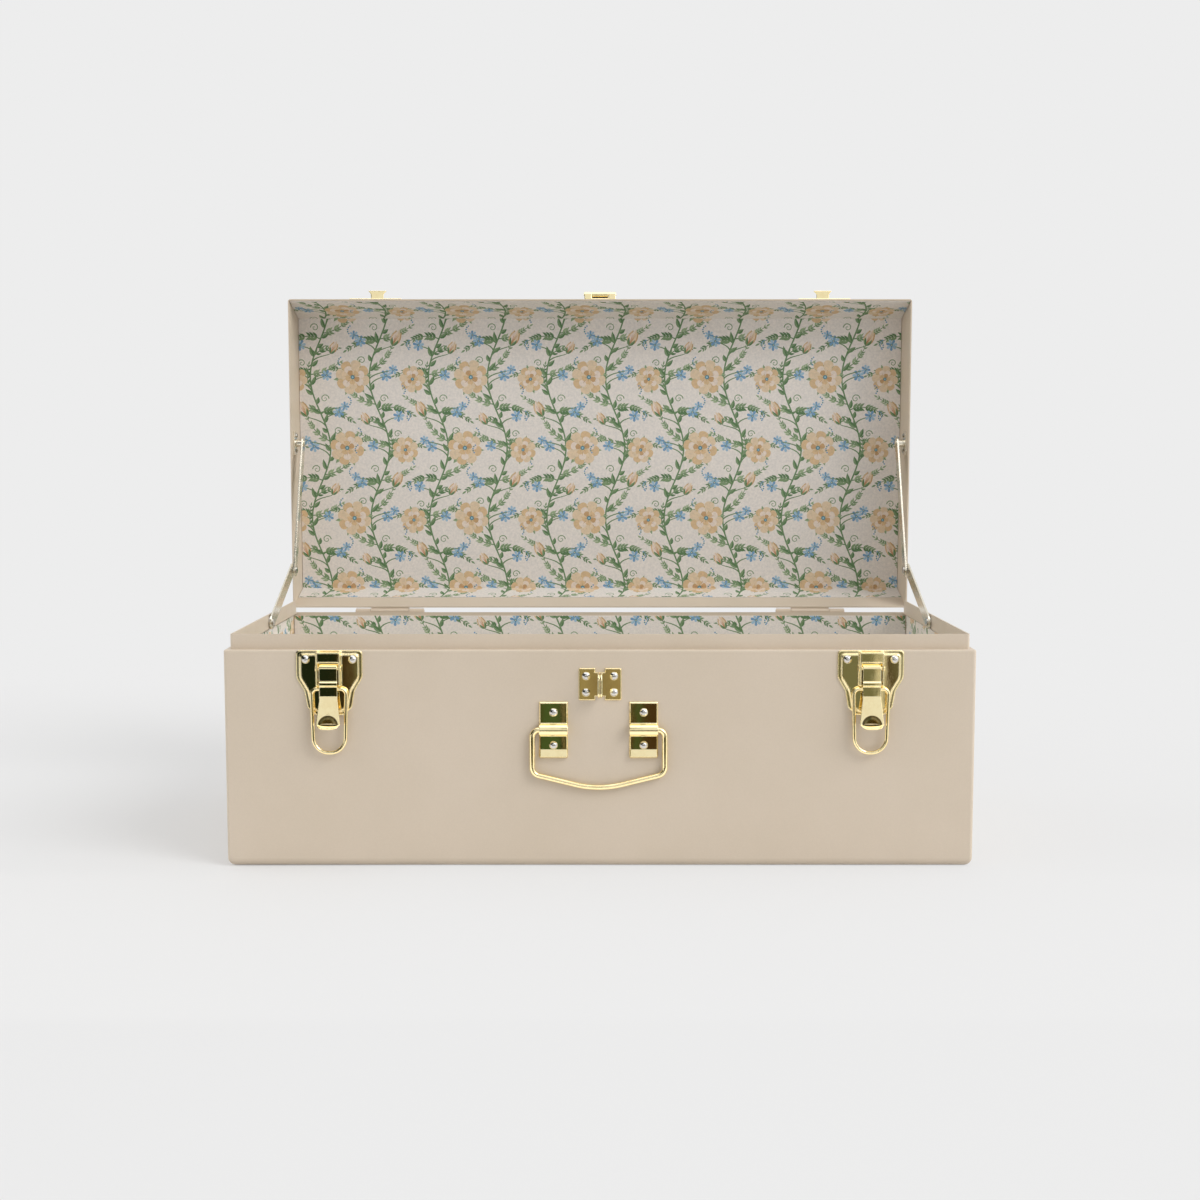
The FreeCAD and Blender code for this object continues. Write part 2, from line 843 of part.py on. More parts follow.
def make_hinges():
    knuckle = size["hinge_knuckle_radius"]
    leaf = size["hinge_leaf"]
    length = size["hinge_length"]
    end = size["hinge_end_knuckle"]
    gap = size["hinge_knuckle_gap"]
    leaf_low = -knuckle - size["hinge_leaf_width"]
    pin = size["hinge_pin_radius"]
    middle_length = length - end * 2 - gap * 2
    for name, side in SIDES:
        x = hinge_place * side
        # Body leaf: a plate on the back wall with a knuckle at each end
        high = -gap - knuckle - leaf_low
        plate = block("leaf_plate", length, leaf, high, -length / 2, lid_back, leaf_low)
        parts = [plate]
        for start in (-length / 2, length / 2 - end):
            parts.append(block("leaf_wrap", end, leaf, -leaf_low, start, lid_back, leaf_low))
            parts.append(rod("leaf_knuckle", knuckle, end, start))
        blank = join("body_leaf_blank", parts)
        bored = cut("body_leaf_bored", blank, rod("body_leaf_bore", pin, length, -length / 2))
        drop = -knuckle - size["hinge_leaf_width"] / 2
        seats = []
        for way in (-1, 0, 1):
            seats.append((size["hinge_rivet_spread"] * way, lid_back + leaf, drop, (0, 1, 0)))
        body_leaf = drill("body_leaf", bored, seats, rivet_hole, leaf + size["overrun"])
        put(body_leaf, x, hinge_y, hinge_z)
        keep(body_leaf, f"hinge_body_leaf_{name}")

        # Lid leaf: a leaning plate on the lid wall with one long knuckle in the middle
        run = knuckle + gap
        top = run + size["hinge_leaf_width"]
        plate = [back_wall(run), back_wall(top), back_wall(top, leaf), back_wall(run, leaf)]
        flap = solid_profile("flap", "YZ_Plane", plate, length)
        web = [
            back_wall(leaf / 2),
            back_wall(run + leaf),
            back_wall(run + leaf, leaf),
            (zero, knuckle),
            (zero, zero),
        ]
        wrap = solid_profile("flap_wrap", "YZ_Plane", web, middle_length)
        barrel = rod("flap_knuckle", knuckle, middle_length, -middle_length / 2)
        blank = join("lid_leaf_blank", [flap, wrap, barrel])
        bore = rod("lid_leaf_bore", pin + size["wire_clearance"], length, -length / 2)
        bored = cut("lid_leaf_bored", blank, bore)
        y, z = back_wall(knuckle + size["hinge_leaf_width"] / 2, leaf)
        seats = [(size["hinge_rivet_spread"] * way, y, z, back_out) for way in (-1, 0, 1)]
        lid_leaf = drill("lid_leaf", bored, seats, rivet_hole, leaf + size["overrun"])
        put(lid_leaf, x, lid_turn[0], lid_turn[1], lid_turn[2])
        keep(lid_leaf, f"hinge_lid_leaf_{name}")

        reach = length / 2 + size["hinge_pin_overhang"]
        hinge_pin = rod("hinge_pin", pin, reach * 2, x - reach, hinge_y, hinge_z)
        keep(hinge_pin, f"hinge_pin_{name}")

    back = half_depth + leaf
    seats = [(x, back, z, (0, 1, 0)) for x, z in hinge_seats_on_body()]
    rivets("hinge_rivets_body", seats, leaf + size["steel"])
    rivets("hinge_rivets_lid", hinge_seats_on_lid(leaf), leaf + size["steel"], turn=lid_turn)


# Draw latches. Each is modelled about the middle of its top edge, on the front face.


def latch_outline(inset):
    """The plate: straight sides, an inward sweep to a waist, and a narrow foot."""
    shoulder = size["latch_half_width"] - inset
    waist = size["latch_waist_half"] - inset
    foot = size["latch_foot_half"] - inset
    toe = size["latch_toe_half"] - inset / 2
    half = [
        (toe, inset - size["latch_height"]),
        (foot, inset / 2 - size["latch_foot_drop"], size["latch_foot_radius"]),
        (waist, -size["latch_waist_drop"], size["latch_waist_radius"]),
        (shoulder, -size["latch_straight"], size["latch_waist_radius"]),
        (shoulder, -inset, size["latch_top_radius"]),
    ]
    mirrored = [(-corner[0], *corner[1:]) for corner in reversed(half)]
    return half + mirrored


def make_latch_plate(side):
    body = new_body("latch_base")
    base = new_sketch(body, "XZ_Plane")
    draw_path(base, latch_outline(zero))
    for way in (-1, 1):
        draw_circle(base, (size["latch_rivet_place"] * way, -size["latch_rivet_drop"]), rivet_hole)
    pad(body, base, size["latch_plate"])
    field = new_sketch(body, "XZ_Plane")
    draw_path(field, latch_outline(size["latch_border"]))
    for way in (-1, 1):
        draw_circle(field, (size["latch_rivet_place"] * way, -size["latch_rivet_drop"]), rivet_hole)
    rise = size["latch_plate"] + size["latch_field"]
    pad(body, field, rise)
    face = -rise.number
    hole = rivet_hole.number

    def around_field(edge, middle):
        is_hole = isinstance(edge.Curve, Part.Circle) and close(edge.Curve.Radius, hole)
        return close(middle.y, face) and not is_hole

    round_edges(body, around_field, size["latch_field_bevel"], "Chamfer")

    # Two cheeks carry the lever, under a hood
    top = -size["cheek_top_drop"]
    low = top - size["cheek_height"]
    for start in (-size["cheek_half"], size["cheek_half"] - size["cheek"]):
        cheek = new_sketch(body, "XZ_Plane")
        draw_path(cheek, box_corners(start, low, start + size["cheek"], top))
        pad(body, cheek, size["cheek_reach"])
    hood = new_sketch(body, "XZ_Plane", size["cheek_reach"] - size["hood"])
    draw_path(hood, box_corners(-size["cheek_half"], top - size["hood_height"], size["cheek_half"], top))
    pad(body, hood, size["hood"])
    reach = -size["cheek_reach"].number
    round_edges(
        body,
        lambda edge, middle: close(middle.y, reach) and abs(middle.x) > size["lever_half_width"].number,
        size["hood_bevel"],
        "Chamfer",
    )

    # The hole for the lever pin runs through both cheeks
    hole = new_sketch(body, "YZ_Plane")
    draw_circle(hole, (-size["lever_pivot_reach"], -size["lever_pivot_drop"]), size["lever_pin_radius"])
    pocket(body, hole, (size["cheek_half"] + size["overrun"]) * 2, symmetric=True)
    put(body, latch_place * side, front, size["body_height"])
    return body


def make_latch_pin(side):
    half = size["cheek_half"] + size["lever_pin_head"]
    x = latch_place * side
    y = front - size["lever_pivot_reach"]
    z = size["body_height"] - size["lever_pivot_drop"]
    shaft = rod("latch_pin_shaft", size["lever_pin_radius"], half * 2, x - half, y, z)
    heads = []
    for start in (x - half, x + size["cheek_half"]):
        head = size["lever_pin_head_radius"]
        heads.append(rod("latch_pin_head", head, size["lever_pin_head"], start, y, z))
    return join("latch_pin", [shaft, *heads])


def lever_section():
    """The lever from the side: a pressed strip with a ridge, a bend and a flat face."""
    metal = size["lever_metal"]
    neck = size["lever_pivot_reach"] + size["lever_knuckle_radius"]
    ridge = size["lever_ridge"]
    half = size["lever_ridge_half"]
    ridge_drop = size["lever_ridge_drop"]
    face = size["lever_face_reach"]
    outer = [
        (neck, size["lever_pivot_drop"]),
        (neck, ridge_drop - half * 2),
        (neck + ridge, ridge_drop - half),
        (neck + ridge, ridge_drop + half),
        (neck, ridge_drop + half * 2),
        (neck, size["lever_bend_drop"]),
        (face, size["lever_face_drop"]),
        (size["lever_face_end_reach"], size["lever_face_end_drop"]),
        (size["lever_face_end_reach"] + size["lip_reach"], size["lever_face_end_drop"] + size["lip_drop"]),
    ]
    inner = [(reach - metal, drop) for reach, drop in reversed(outer[:-1])]
    tip_reach, tip_drop = outer[-1]
    inner.insert(0, (tip_reach - metal / 2, tip_drop + metal))
    inner[1] = (inner[1][0], inner[1][1] + metal)
    return [(-reach, -drop) for reach, drop in outer + inner]


def make_lever(side):
    x = latch_place * side
    strip = solid_profile("lever_strip", "YZ_Plane", lever_section(), size["lever_flare_half"] * 2)
    half = size["lever_half_width"]
    flare = size["lever_flare_half"]
    end = size["lever_face_end_drop"]
    tip = end + size["lip_drop"] + size["lever_metal"]
    lip_radius = size["lip_radius"]
    right = [
        (half, zero),
        (half, -size["lever_face_drop"], size["lever_flare_radius"]),
        (flare, -end),
        (size["lip_half"], -tip, lip_radius),
    ]
    left = [(-corner[0], *corner[1:]) for corner in reversed(right)]
    front_view = solid_profile("lever_front", "XZ_Plane", left + right, tip, symmetric=False)
    shaped = doc.addObject("Part::Common", "lever_shaped")
    shaped.Base = strip
    shaped.Tool = front_view

    reach = size["lever_pivot_reach"]
    drop = size["lever_pivot_drop"]
    knuckle = rod("lever_knuckle", size["lever_knuckle_radius"], half * 2, -half, -reach, -drop)
    parts = [shaped, knuckle]
    flange = size["flange"]
    flange_low = -size["loop_pivot_drop"] - size["flange_height"] / 2
    flange_far = reach + size["lever_knuckle_radius"] - size["lever_metal"] / 2
    depth = flange_far - size["flange_root"]
    for start in (-half, half - flange):
        high = size["flange_height"]
        parts.append(block("lever_flange", flange, depth, high, start, -flange_far, flange_low))
    cup = doc.addObject("Part::Sphere", "scoop_cup")
    bind(cup, Radius=size["scoop_radius"] + size["lever_metal"])
    face_end = size["lever_face_end_reach"]
    scoop_reach = face_end + size["scoop_offset"]
    put(cup, zero, -scoop_reach, -end)
    back = size["lever_metal"] - face_end
    behind = block("scoop_behind", flare * 2, scoop_reach, tip, -flare, back, -end)
    bowl = doc.addObject("Part::Common", "scoop_bowl")
    bowl.Base = cup
    bowl.Tool = behind
    parts.append(bowl)
    blank = join("lever_blank", parts)

    dent = doc.addObject("Part::Sphere", "scoop_dent")
    bind(dent, Radius=size["scoop_radius"])
    put(dent, zero, -scoop_reach, -end)
    twice = scoop_reach * 2
    above = block("scoop_above", flare * 2, twice, tip, -flare, -twice, -end)
    bowl_cut = doc.addObject("Part::Common", "scoop_cut")
    bowl_cut.Base = dent
    bowl_cut.Tool = above
    start = -half - size["overrun"]
    bore_radius = size["lever_pin_radius"] + size["wire_clearance"]
    eye_radius = size["loop_wire_radius"] + size["wire_clearance"]
    bore = rod("lever_bore", bore_radius, -start * 2, start, -reach, -drop)
    eye_y = -size["loop_pivot_reach"]
    eye = rod("lever_eye", eye_radius, -start * 2, start, eye_y, -size["loop_pivot_drop"])
    lever = cut("lever", blank, group("lever_cuts", [bowl_cut, bore, eye]))
    put(lever, x, front, size["body_height"])
    return lever


def make_loop(side):
    """The wire loop, closed, with its straight top bar through the lever's flanges."""
    top = -size["loop_pivot_drop"]
    end = size["loop_end_radius"]
    half = size["loop_half_width"]
    bottom = -size["loop_end_drop"] - end
    corner = size["loop_corner_radius"]
    path = [
        (-half, top, corner),
        (half, top, corner),
        (end, bottom, size["loop_tip_radius"]),
        (-end, bottom, size["loop_tip_radius"]),
    ]
    loop = bent_wire("latch_wire", path, True, zero, top, size["loop_wire_radius"])
    put(loop, latch_place * side, front - size["loop_pivot_reach"], size["body_height"])
    return loop


def make_latches():
    for name, side in SIDES:
        keep(make_latch_plate(side), f"latch_plate_{name}")
        keep(make_latch_pin(side), f"latch_pin_{name}")
        keep(make_lever(side), f"latch_lever_{name}")
        keep(make_loop(side), f"latch_loop_{name}")
    rise = size["latch_plate"] + size["latch_field"]
    seats = [(x, front - rise, z, (0, -1, 0)) for x, z in latch_seats()]
    rivets("latch_rivets", seats, rise + size["steel"])


# The padlock staple


def make_staple():
    wide = size["staple_half_width"]
    high = size["staple_half_height"]
    neck = size["staple_neck_half"]
    neck_high = size["staple_neck_half_height"]
    body = new_body("staple_body")
    base = new_sketch(body, "XZ_Plane")
    radius = size["staple_corner_radius"]
    upper = [(neck, neck_high), (neck, high, radius / 2), (wide, high, radius)]
    right = [(neck, -neck_high), (neck, -high, radius / 2), (wide, -high, radius)] + upper[::-1]
    left = [(-a, *rest) for a, *rest in reversed(right)]
    draw_path(base, right + left)
    for x, z in staple_seats():
        draw_circle(base, (x, z - size["body_height"] + size["staple_drop"]), rivet_hole)
    pad(body, base, size["staple_plate"])
    edge = -size["staple_plate"].number
    round_edges(
        body,
        lambda line, middle: close(middle.y, edge) and abs(middle.x) > neck.number + MATCH
        and not isinstance(line.Curve, Part.Circle),
        size["staple_plate"] / 2,
        "Chamfer",
    )

    # Two tabs stand back to back in the middle, with a hole for a shackle
    for way in (-1, 1):
        tab = new_sketch(body, "YZ_Plane", size["staple_tab_gap"] / 2 * way)
        reach = -size["staple_tab_reach"]
        radius = size["staple_tab_radius"]
        root = [(zero, -neck_high), (zero, neck_high)]
        draw_path(tab, root + [(reach, neck_high, radius), (reach, -neck_high, radius)])
        draw_circle(tab, (-size["staple_hole_reach"], zero), size["staple_hole_radius"])
        feature = pad(body, tab, size["staple_tab"])
        feature.Reversed = way < 0
    put(body, zero, front, size["body_height"] - size["staple_drop"])
    keep(body, "padlock_staple")
    seats = [(x, front - size["staple_plate"], z, (0, -1, 0)) for x, z in staple_seats()]
    rivets("staple_rivets", seats, size["staple_plate"] + size["steel"])


# The hasp and the strikes on the lid's front wall

hasp_pivot_y = front - size["hasp_pivot_reach"] - hinge_y
hasp_pivot_z = size["hasp_pivot_rise"]
hasp_forward = lid_front - hasp_pivot_y
hasp_run = lid_along[1] * hasp_pivot_z - lid_along[0] * hasp_forward
hasp_lift = lid_along[1] * hasp_forward + lid_along[0] * hasp_pivot_z
hasp_turn = Rotation(X_AXIS, -size["lid_open_angle"].number - math.degrees(math.atan(lid_slope.number)))


def on_hasp(thing, label):
    """Put a piece that is drawn about the hasp's pin, with the wall behind it, on the open lid."""
    put(thing, zero, hinge_y + hasp_pivot_z, hinge_z - hasp_pivot_y, hasp_turn)
    return keep(thing, label)


def make_hasp():
    """Leaf, pin and strap. The strap lies folded back over the leaf."""
    knuckle = size["hasp_knuckle_radius"]
    pin = size["hasp_pin_radius"]
    half = size["hasp_width"] / 2
    end = size["hasp_end_knuckle"]
    leaf = size["hasp_leaf"]

    body = new_body("hasp_leaf_plate")
    plate = new_sketch(body, "XZ_Plane", -hasp_lift)
    leaf_end = size["hasp_leaf_length"]
    draw_path(plate, box_corners(-half, -knuckle, half, leaf_end, size["staple_corner_radius"]))
    for way in (-1, 1):
        centre = (size["hasp_rivet_spread"] * way, size["hasp_rivet_rise"] - hasp_run)
        draw_circle(plate, centre, rivet_hole)
    pad(body, plate, leaf)
    parts = [body]
    for start in (-half, half - end):
        parts.append(block("hasp_web", end, hasp_lift - leaf / 2, leaf, start, zero, -knuckle))
        parts.append(rod("hasp_end_knuckle", knuckle, end, start))
    blank = join("hasp_leaf_blank", parts)
    on_hasp(cut("hasp_leaf_bored", blank, rod("hasp_leaf_bore", pin, half * 2, -half)), "hasp_leaf")

    reach = half + size["hinge_pin_overhang"]
    hasp_pin = rod("hasp_pin_rod", pin, reach * 2, -reach, hinge_y + hasp_pivot_z, hinge_z - hasp_pivot_y)
    keep(hasp_pin, "hasp_pin")

    root = half - end - size["hasp_knuckle_gap"]
    wide = size["hasp_strap_width"] / 2
    length = size["hasp_strap_length"]
    shoulder = knuckle + size["hasp_knuckle_gap"]
    strap = new_body("hasp_strap_plate")
    outline = new_sketch(strap, "XZ_Plane", -knuckle)
    right = [(root, zero), (root, shoulder), (wide, shoulder), (wide, length, size["hasp_strap_radius"])]
    left = [(-corner[0], *corner[1:]) for corner in reversed(right)]
    draw_path(outline, right + left)
    slot_half = size["hasp_slot_width"] / 2
    slot_middle = hinge_z + hasp_pivot_z - size["body_height"] + size["staple_drop"]
    slot_low = slot_middle - size["hasp_slot_height"] / 2
    slot_high = slot_middle + size["hasp_slot_height"] / 2
    slot_radius = slot_half - size["hasp_knuckle_gap"]
    draw_path(outline, box_corners(-slot_half, slot_low, slot_half, slot_high, slot_radius))
    pad(strap, outline, size["hasp_strap"])
    barrel = rod("hasp_strap_knuckle", knuckle, root * 2, -root)
    blank = join("hasp_strap_blank", [strap, barrel])
    bore = rod("hasp_strap_bore", pin + size["wire_clearance"], half * 2, -half)
    on_hasp(cut("hasp_strap_bored", blank, bore), "hasp_strap")
    rivets("hasp_rivets", hasp_seats(leaf), leaf + size["steel"], dome="rivet_low_dome", turn=lid_turn)


def make_strikes():
    """A plate on the lid wall with a hook that the end of the wire loop slips over."""
    wire_y = front - size["loop_pivot_reach"] - hinge_y
    loop_length = size["loop_end_drop"] + size["loop_end_radius"] - size["loop_pivot_drop"]
    wire_z = size["body_height"] - size["loop_pivot_drop"] + loop_length - hinge_z
    hook = size["strike_hook"]
    stem_top = wire_z - size["loop_wire_radius"] - size["strike_stem_drop"]
    stem_low = stem_top - hook
    lip_inner = wire_y - size["loop_wire_radius"] - size["strike_play"]
    lip_outer = lip_inner - hook
    lip_top = stem_top + size["strike_lip_height"]
    wall_low = lid_front + lid_slope * stem_low
    wall_high = lid_front + lid_slope * stem_top
    start = size["strike_start"]
    finish = start + size["strike_length"]
    plate_points = [
        front_wall(start),
        front_wall(finish),
        front_wall(finish, size["strike_plate"]),
        front_wall(start, size["strike_plate"]),
    ]
    hook_points = [
        (wall_low, stem_low),
        (lip_outer, stem_low),
        (lip_outer, lip_top),
        (lip_inner, lip_top),
        (lip_inner, stem_top),
        (wall_high, stem_top),
    ]
    stem = size["strike_stem_half"]
    lip = size["strike_lip_half"]
    hook_from_above = [
        (-stem, wall_high),
        (-stem, wire_y),
        (-lip, lip_outer),
        (lip, lip_outer),
        (stem, wire_y),
        (stem, wall_high),
    ]
    for name, side in SIDES:
        plate = solid_profile("strike_plate", "YZ_Plane", plate_points, size["strike_width"])
        side_view = solid_profile("hook_side", "YZ_Plane", hook_points, lip * 2)
        top_view = solid_profile("hook_top", "XY_Plane", hook_from_above, lip_top + hook, symmetric=False)
        shaped = doc.addObject("Part::Common", "hook_shaped")
        shaped.Base = side_view
        shaped.Tool = top_view
        blank = join("strike_blank", [plate, shaped])
        y, z = front_wall(size["strike_rivet_rise"], size["strike_plate"])
        seats = [(size["strike_rivet_spread"] * way, y, z, front_out) for way in (-1, 1)]
        strike = drill("strike", blank, seats, rivet_hole, size["strike_plate"] + size["overrun"])
        put(strike, latch_place * side, lid_turn[0], lid_turn[1], lid_turn[2])
        keep(strike, f"strike_{name}")
    grip = size["strike_plate"] + size["steel"]
    rivets("strike_rivets", strike_seats(size["strike_plate"]), grip, dome="rivet_low_dome", turn=lid_turn)


# The carrying handle


def make_handle():
    axis_z = size["body_height"] - size["handle_drop"]
    reach = size["handle_axis_reach"]
    wire = size["handle_wire_radius"]
    wide = size["bracket_half_width"]
    metal = size["bracket_metal"]
    lip_drop = size["bracket_lip_drop"]
    lip = size["bracket_lip"]
    bottom = size["bracket_bottom"]
    section = [
        (zero, size["bracket_top"]),
        (-metal, size["bracket_top"]),
        (-metal, -lip_drop),
        (-metal - lip, -bottom + size["bracket_lip_edge"]),
        (-size["bracket_lip_edge"], -bottom),
        (zero, -bottom),
    ]
    saddle = size["bracket_saddle_radius"]
    for name, side in SIDES:
        pads = solid_profile("bracket_pads", "YZ_Plane", section, wide * 2)
        face = -metal.number
        end_x = wide.number

        def around_pads(edge, middle):
            on_side = close(abs(middle.x), end_x) and middle.y < face + MATCH and middle.y > -saddle.number
            on_top = close(middle.z, size["bracket_top"].number) and close(middle.y, face)
            return on_side or on_top

        round_edges(pads, around_pads, size["bracket_bevel"], "Chamfer")
        bulge = rod("bracket_bulge", saddle, wide * 2, -wide, -reach)
        blank = join("bracket_blank", [pads, bulge])
        behind = block("bracket_behind", wide * 4, saddle * 2, saddle * 4, -wide * 2, zero, -saddle * 2)
        bore = rod("bracket_bore", wire + size["wire_clearance"], wide * 4, -wide * 2, -reach)
        saddled = cut("bracket_saddled", blank, group("bracket_cuts", [behind, bore]))
        seats = [
            (zero, -metal, size["bracket_rivet_top"], (0, -1, 0)),
            (zero, -metal, -size["bracket_rivet_bottom"], (0, -1, 0)),
        ]
        bracket = drill("bracket", saddled, seats, rivet_hole, metal + size["overrun"])
        put(bracket, size["handle_shift"] + size["bracket_place"] * side, front, axis_z)
        keep(bracket, f"handle_bracket_{name}")

    half = size["handle_half_width"]
    inner_end = size["bracket_place"] - wide + size["overrun"]
    right = [
        (zero, -size["handle_middle_drop"], size["handle_middle_radius"]),
        (half, -size["handle_elbow_drop"], size["handle_elbow_radius"]),
        (half, zero, size["handle_shoulder_radius"]),
        (inner_end, zero),
    ]
    left = [(-corner[0], *corner[1:]) for corner in reversed(right[1:])]
    handle = bent_wire("handle_wire", left + right, False, -inner_end, zero, wire)
    put(handle, size["handle_shift"], front - reach, axis_z)
    keep(handle, "handle_bail")
    seats = [(x, front - metal, z, (0, -1, 0)) for x, z in bracket_seats()]
    rivets("handle_rivets", seats, metal + size["steel"])


# The lid stays: a lower link on the tray's rim and an upper link on the lid, joined at an elbow

stay_body_y = hinge_y - size["stay_body_forward"]
stay_body_z = hinge_z + size["stay_body_rise"]
stay_lid_y = hinge_y + size["stay_lid_rise"]
stay_lid_z = hinge_z + size["stay_lid_forward"]


def elbow_place():
    """Where the two links meet while the lid stands open: behind the straight line between their pins."""
    lower = Vector(stay_body_y.number, stay_body_z.number, 0)
    upper = Vector(stay_lid_y.number, stay_lid_z.number, 0)
    span = lower - upper
    reach = size["stay_upper_length"].number
    other = size["stay_lower_length"].number
    foot = (reach**2 - other**2 + span.Length**2) / (2 * span.Length)
    direction = Vector(span).normalize()
    across = Vector(-direction.y, direction.x, 0)
    return upper + direction * foot + across * math.sqrt(reach**2 - foot**2)


def turn_towards(start, end):
    """The turn about X that points a link's own Y axis from one pin to the next."""
    return Rotation(X_AXIS, math.degrees(math.atan2(end.y - start.y, end.x - start.x)))


def link_blank(name, length, mid_x, first_hole, second_hole):
    """A flat link with round ends, from its first pin at the origin along Y."""
    metal = size["stay_metal"]
    half = size["stay_half_width"]
    low = mid_x - metal / 2
    parts = [
        block(f"{name}_bar", metal, length, half * 2, low, zero, -half),
        rod(f"{name}_end", half, metal, low),
        rod(f"{name}_end", half, metal, low, length),
    ]
    start = low - size["overrun"]
    through = metal + size["overrun"] * 2
    holes = [
        rod(f"{name}_hole", first_hole, through, start),
        rod(f"{name}_hole", second_hole, through, start, length),
    ]
    return cut(name, join(f"{name}_blank", parts), group(f"{name}_holes", holes))


def stepped_rod(name, side, steps, y=zero, z=zero):
    """A turned pin along X, from the wall towards the middle: steps are (from x, to x, radius)."""
    rods = []
    for outer, inner, radius in steps:
        rods.append(rod(f"{name}_step", radius, outer - inner, outer * side, y, z, Vector(-side, 0, 0)))
    return join(name, rods)


def make_stays():
    pin = size["stay_pin_radius"]
    loose = pin + size["wire_clearance"]
    metal = size["stay_metal"]
    head = size["stay_head_radius"]
    rim_out = half_length - size["rim_step_side"]
    rim_in = rim_out - size["steel"]
    lower_mid = rim_in - size["stay_rim_gap"] - metal / 2
    upper_mid = lower_mid - metal - size["stay_link_gap"]
    lower_out = lower_mid + metal / 2
    lower_in = lower_mid - metal / 2
    upper_out = upper_mid + metal / 2
    upper_in = upper_mid - metal / 2
    half_gap = size["stay_washer_gap"]
    wall_in = lid_inner_half
    elbow = elbow_place()
    lower_pin = Vector(stay_body_y.number, stay_body_z.number, 0)
    upper_pin = Vector(stay_lid_y.number, stay_lid_z.number, 0)
    lower_turn = turn_towards(lower_pin, elbow)
    upper_turn = turn_towards(upper_pin, elbow)
    for name, side in SIDES:
        pivot = stepped_rod(
            "stay_body_pivot",
            side,
            [
                (rim_out, rim_in, size["rivet_shank"]),
                (rim_in, lower_out + half_gap, size["stay_washer_radius"]),
                (lower_out + half_gap, lower_in, pin),
                (lower_in, lower_in - size["stay_head"], head),
            ],
        )
        put(pivot, zero, stay_body_y, stay_body_z)
        keep(pivot, f"stay_body_pivot_{name}")

        lower = link_blank("lower_link", size["stay_lower_length"], lower_mid * side, loose, pin)
        put(lower, zero, stay_body_y, stay_body_z, lower_turn)
        keep(lower, f"stay_lower_link_{name}")
        tail = stepped_rod(
            "stay_elbow_tail",
            side,
            [
                (lower_out + size["stay_tail"], lower_out, size["stay_tail_radius"]),
                (lower_out, lower_in, pin),
            ],
            size["stay_lower_length"],
        )
        put(tail, zero, stay_body_y, stay_body_z, lower_turn)
        keep(tail, f"stay_elbow_tail_{name}")

        upper = link_blank("upper_link", size["stay_upper_length"], upper_mid * side, loose, pin)
        put(upper, zero, stay_lid_y, stay_lid_z, upper_turn)
        keep(upper, f"stay_upper_link_{name}")
        rivet = stepped_rod(
            "stay_elbow_rivet",
            side,
            [
                (upper_out + size["stay_head"], upper_out, size["stay_tail_radius"]),
                (upper_out, upper_in, pin),
                (upper_in, upper_in - size["stay_dome"], head),
            ],
            size["stay_upper_length"],
        )
        put(rivet, zero, stay_lid_y, stay_lid_z, upper_turn)
        keep(rivet, f"stay_elbow_rivet_{name}")

        plate = size["stay_bracket_plate"]
        length = size["stay_bracket_length"]
        width = size["stay_bracket_width"]
        mid_y = -size["stay_lid_forward"]
        mid_z = size["stay_lid_rise"]
        plate_x = wall_in - plate if side > 0 else -wall_in
        low_z = mid_z + size["stay_bracket_offset"] - width / 2
        base = block("stay_bracket_base", plate, length, width, plate_x, mid_y - length / 2, low_z)
        stud = stepped_rod(
            "stay_bracket_stud",
            side,
            [
                (wall_in - plate / 2, upper_out + half_gap, size["stay_pedestal_radius"]),
                (upper_out + half_gap, upper_in, pin),
                (upper_in, upper_in - size["stay_head"], head),
            ],
            mid_y,
            mid_z,
        )
        blank = join("stay_bracket_blank", [base, stud])
        seats = [seat for seat in stay_bracket_seats(wall_in - plate) if seat[0].number * side > 0]
        bracket = drill("stay_bracket", blank, seats, stay_rivet_hole, plate + size["overrun"])
        on_lid(bracket, f"stay_lid_bracket_{name}")
    rivets(
        "stay_bracket_rivets",
        stay_bracket_seats(wall_in - size["stay_bracket_plate"]),
        size["stay_bracket_plate"] + size["steel"],
        dome="stay_bracket_rivet_dome",
        radius="stay_bracket_rivet_radius",
        turn=lid_turn,
    )


stay_rivet_hole = rivet_hole


# Everything in order


def check_and_export():
    doc.recompute()
    for thing in doc.Objects:
        if "Invalid" in thing.State or "Error" in thing.State:
            raise ValueError(f"{thing.Name} ({thing.Label}) failed: {thing.State}")
    os.makedirs("parts", exist_ok=True)
    for piece in pieces:
        shape = piece.Shape
        if shape.isNull() or not shape.isValid():
            raise ValueError(f"{piece.Label} has no valid shape")
    for piece in pieces:
        piece.Shape.exportStep(f"parts/{piece.Label}.step")
        print(f"{piece.Label}: {len(piece.Shape.Solids)} solids, {piece.Shape.Volume:.1f} cubic mm")


make_body_shell()
make_body_linings()
make_lid_shell()
make_lid_linings()
make_hinges()
make_latches()
make_staple()
make_hasp()
make_strikes()
make_handle()
make_stays()
check_and_export()
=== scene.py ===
import json
import math

import bpy
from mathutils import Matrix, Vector
from mathutils.geometry import delaunay_2d_cdt


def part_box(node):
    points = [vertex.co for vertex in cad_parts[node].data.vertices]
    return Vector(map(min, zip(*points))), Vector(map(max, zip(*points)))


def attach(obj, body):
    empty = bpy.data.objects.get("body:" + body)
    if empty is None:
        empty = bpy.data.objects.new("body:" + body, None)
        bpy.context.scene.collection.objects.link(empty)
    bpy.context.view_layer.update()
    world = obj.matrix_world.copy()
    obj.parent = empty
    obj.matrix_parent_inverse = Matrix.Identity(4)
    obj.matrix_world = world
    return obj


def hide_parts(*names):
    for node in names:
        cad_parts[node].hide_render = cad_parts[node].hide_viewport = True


# A steel storage trunk with its lid open, on a pale seamless floor. Metres, the trunk's own frame.

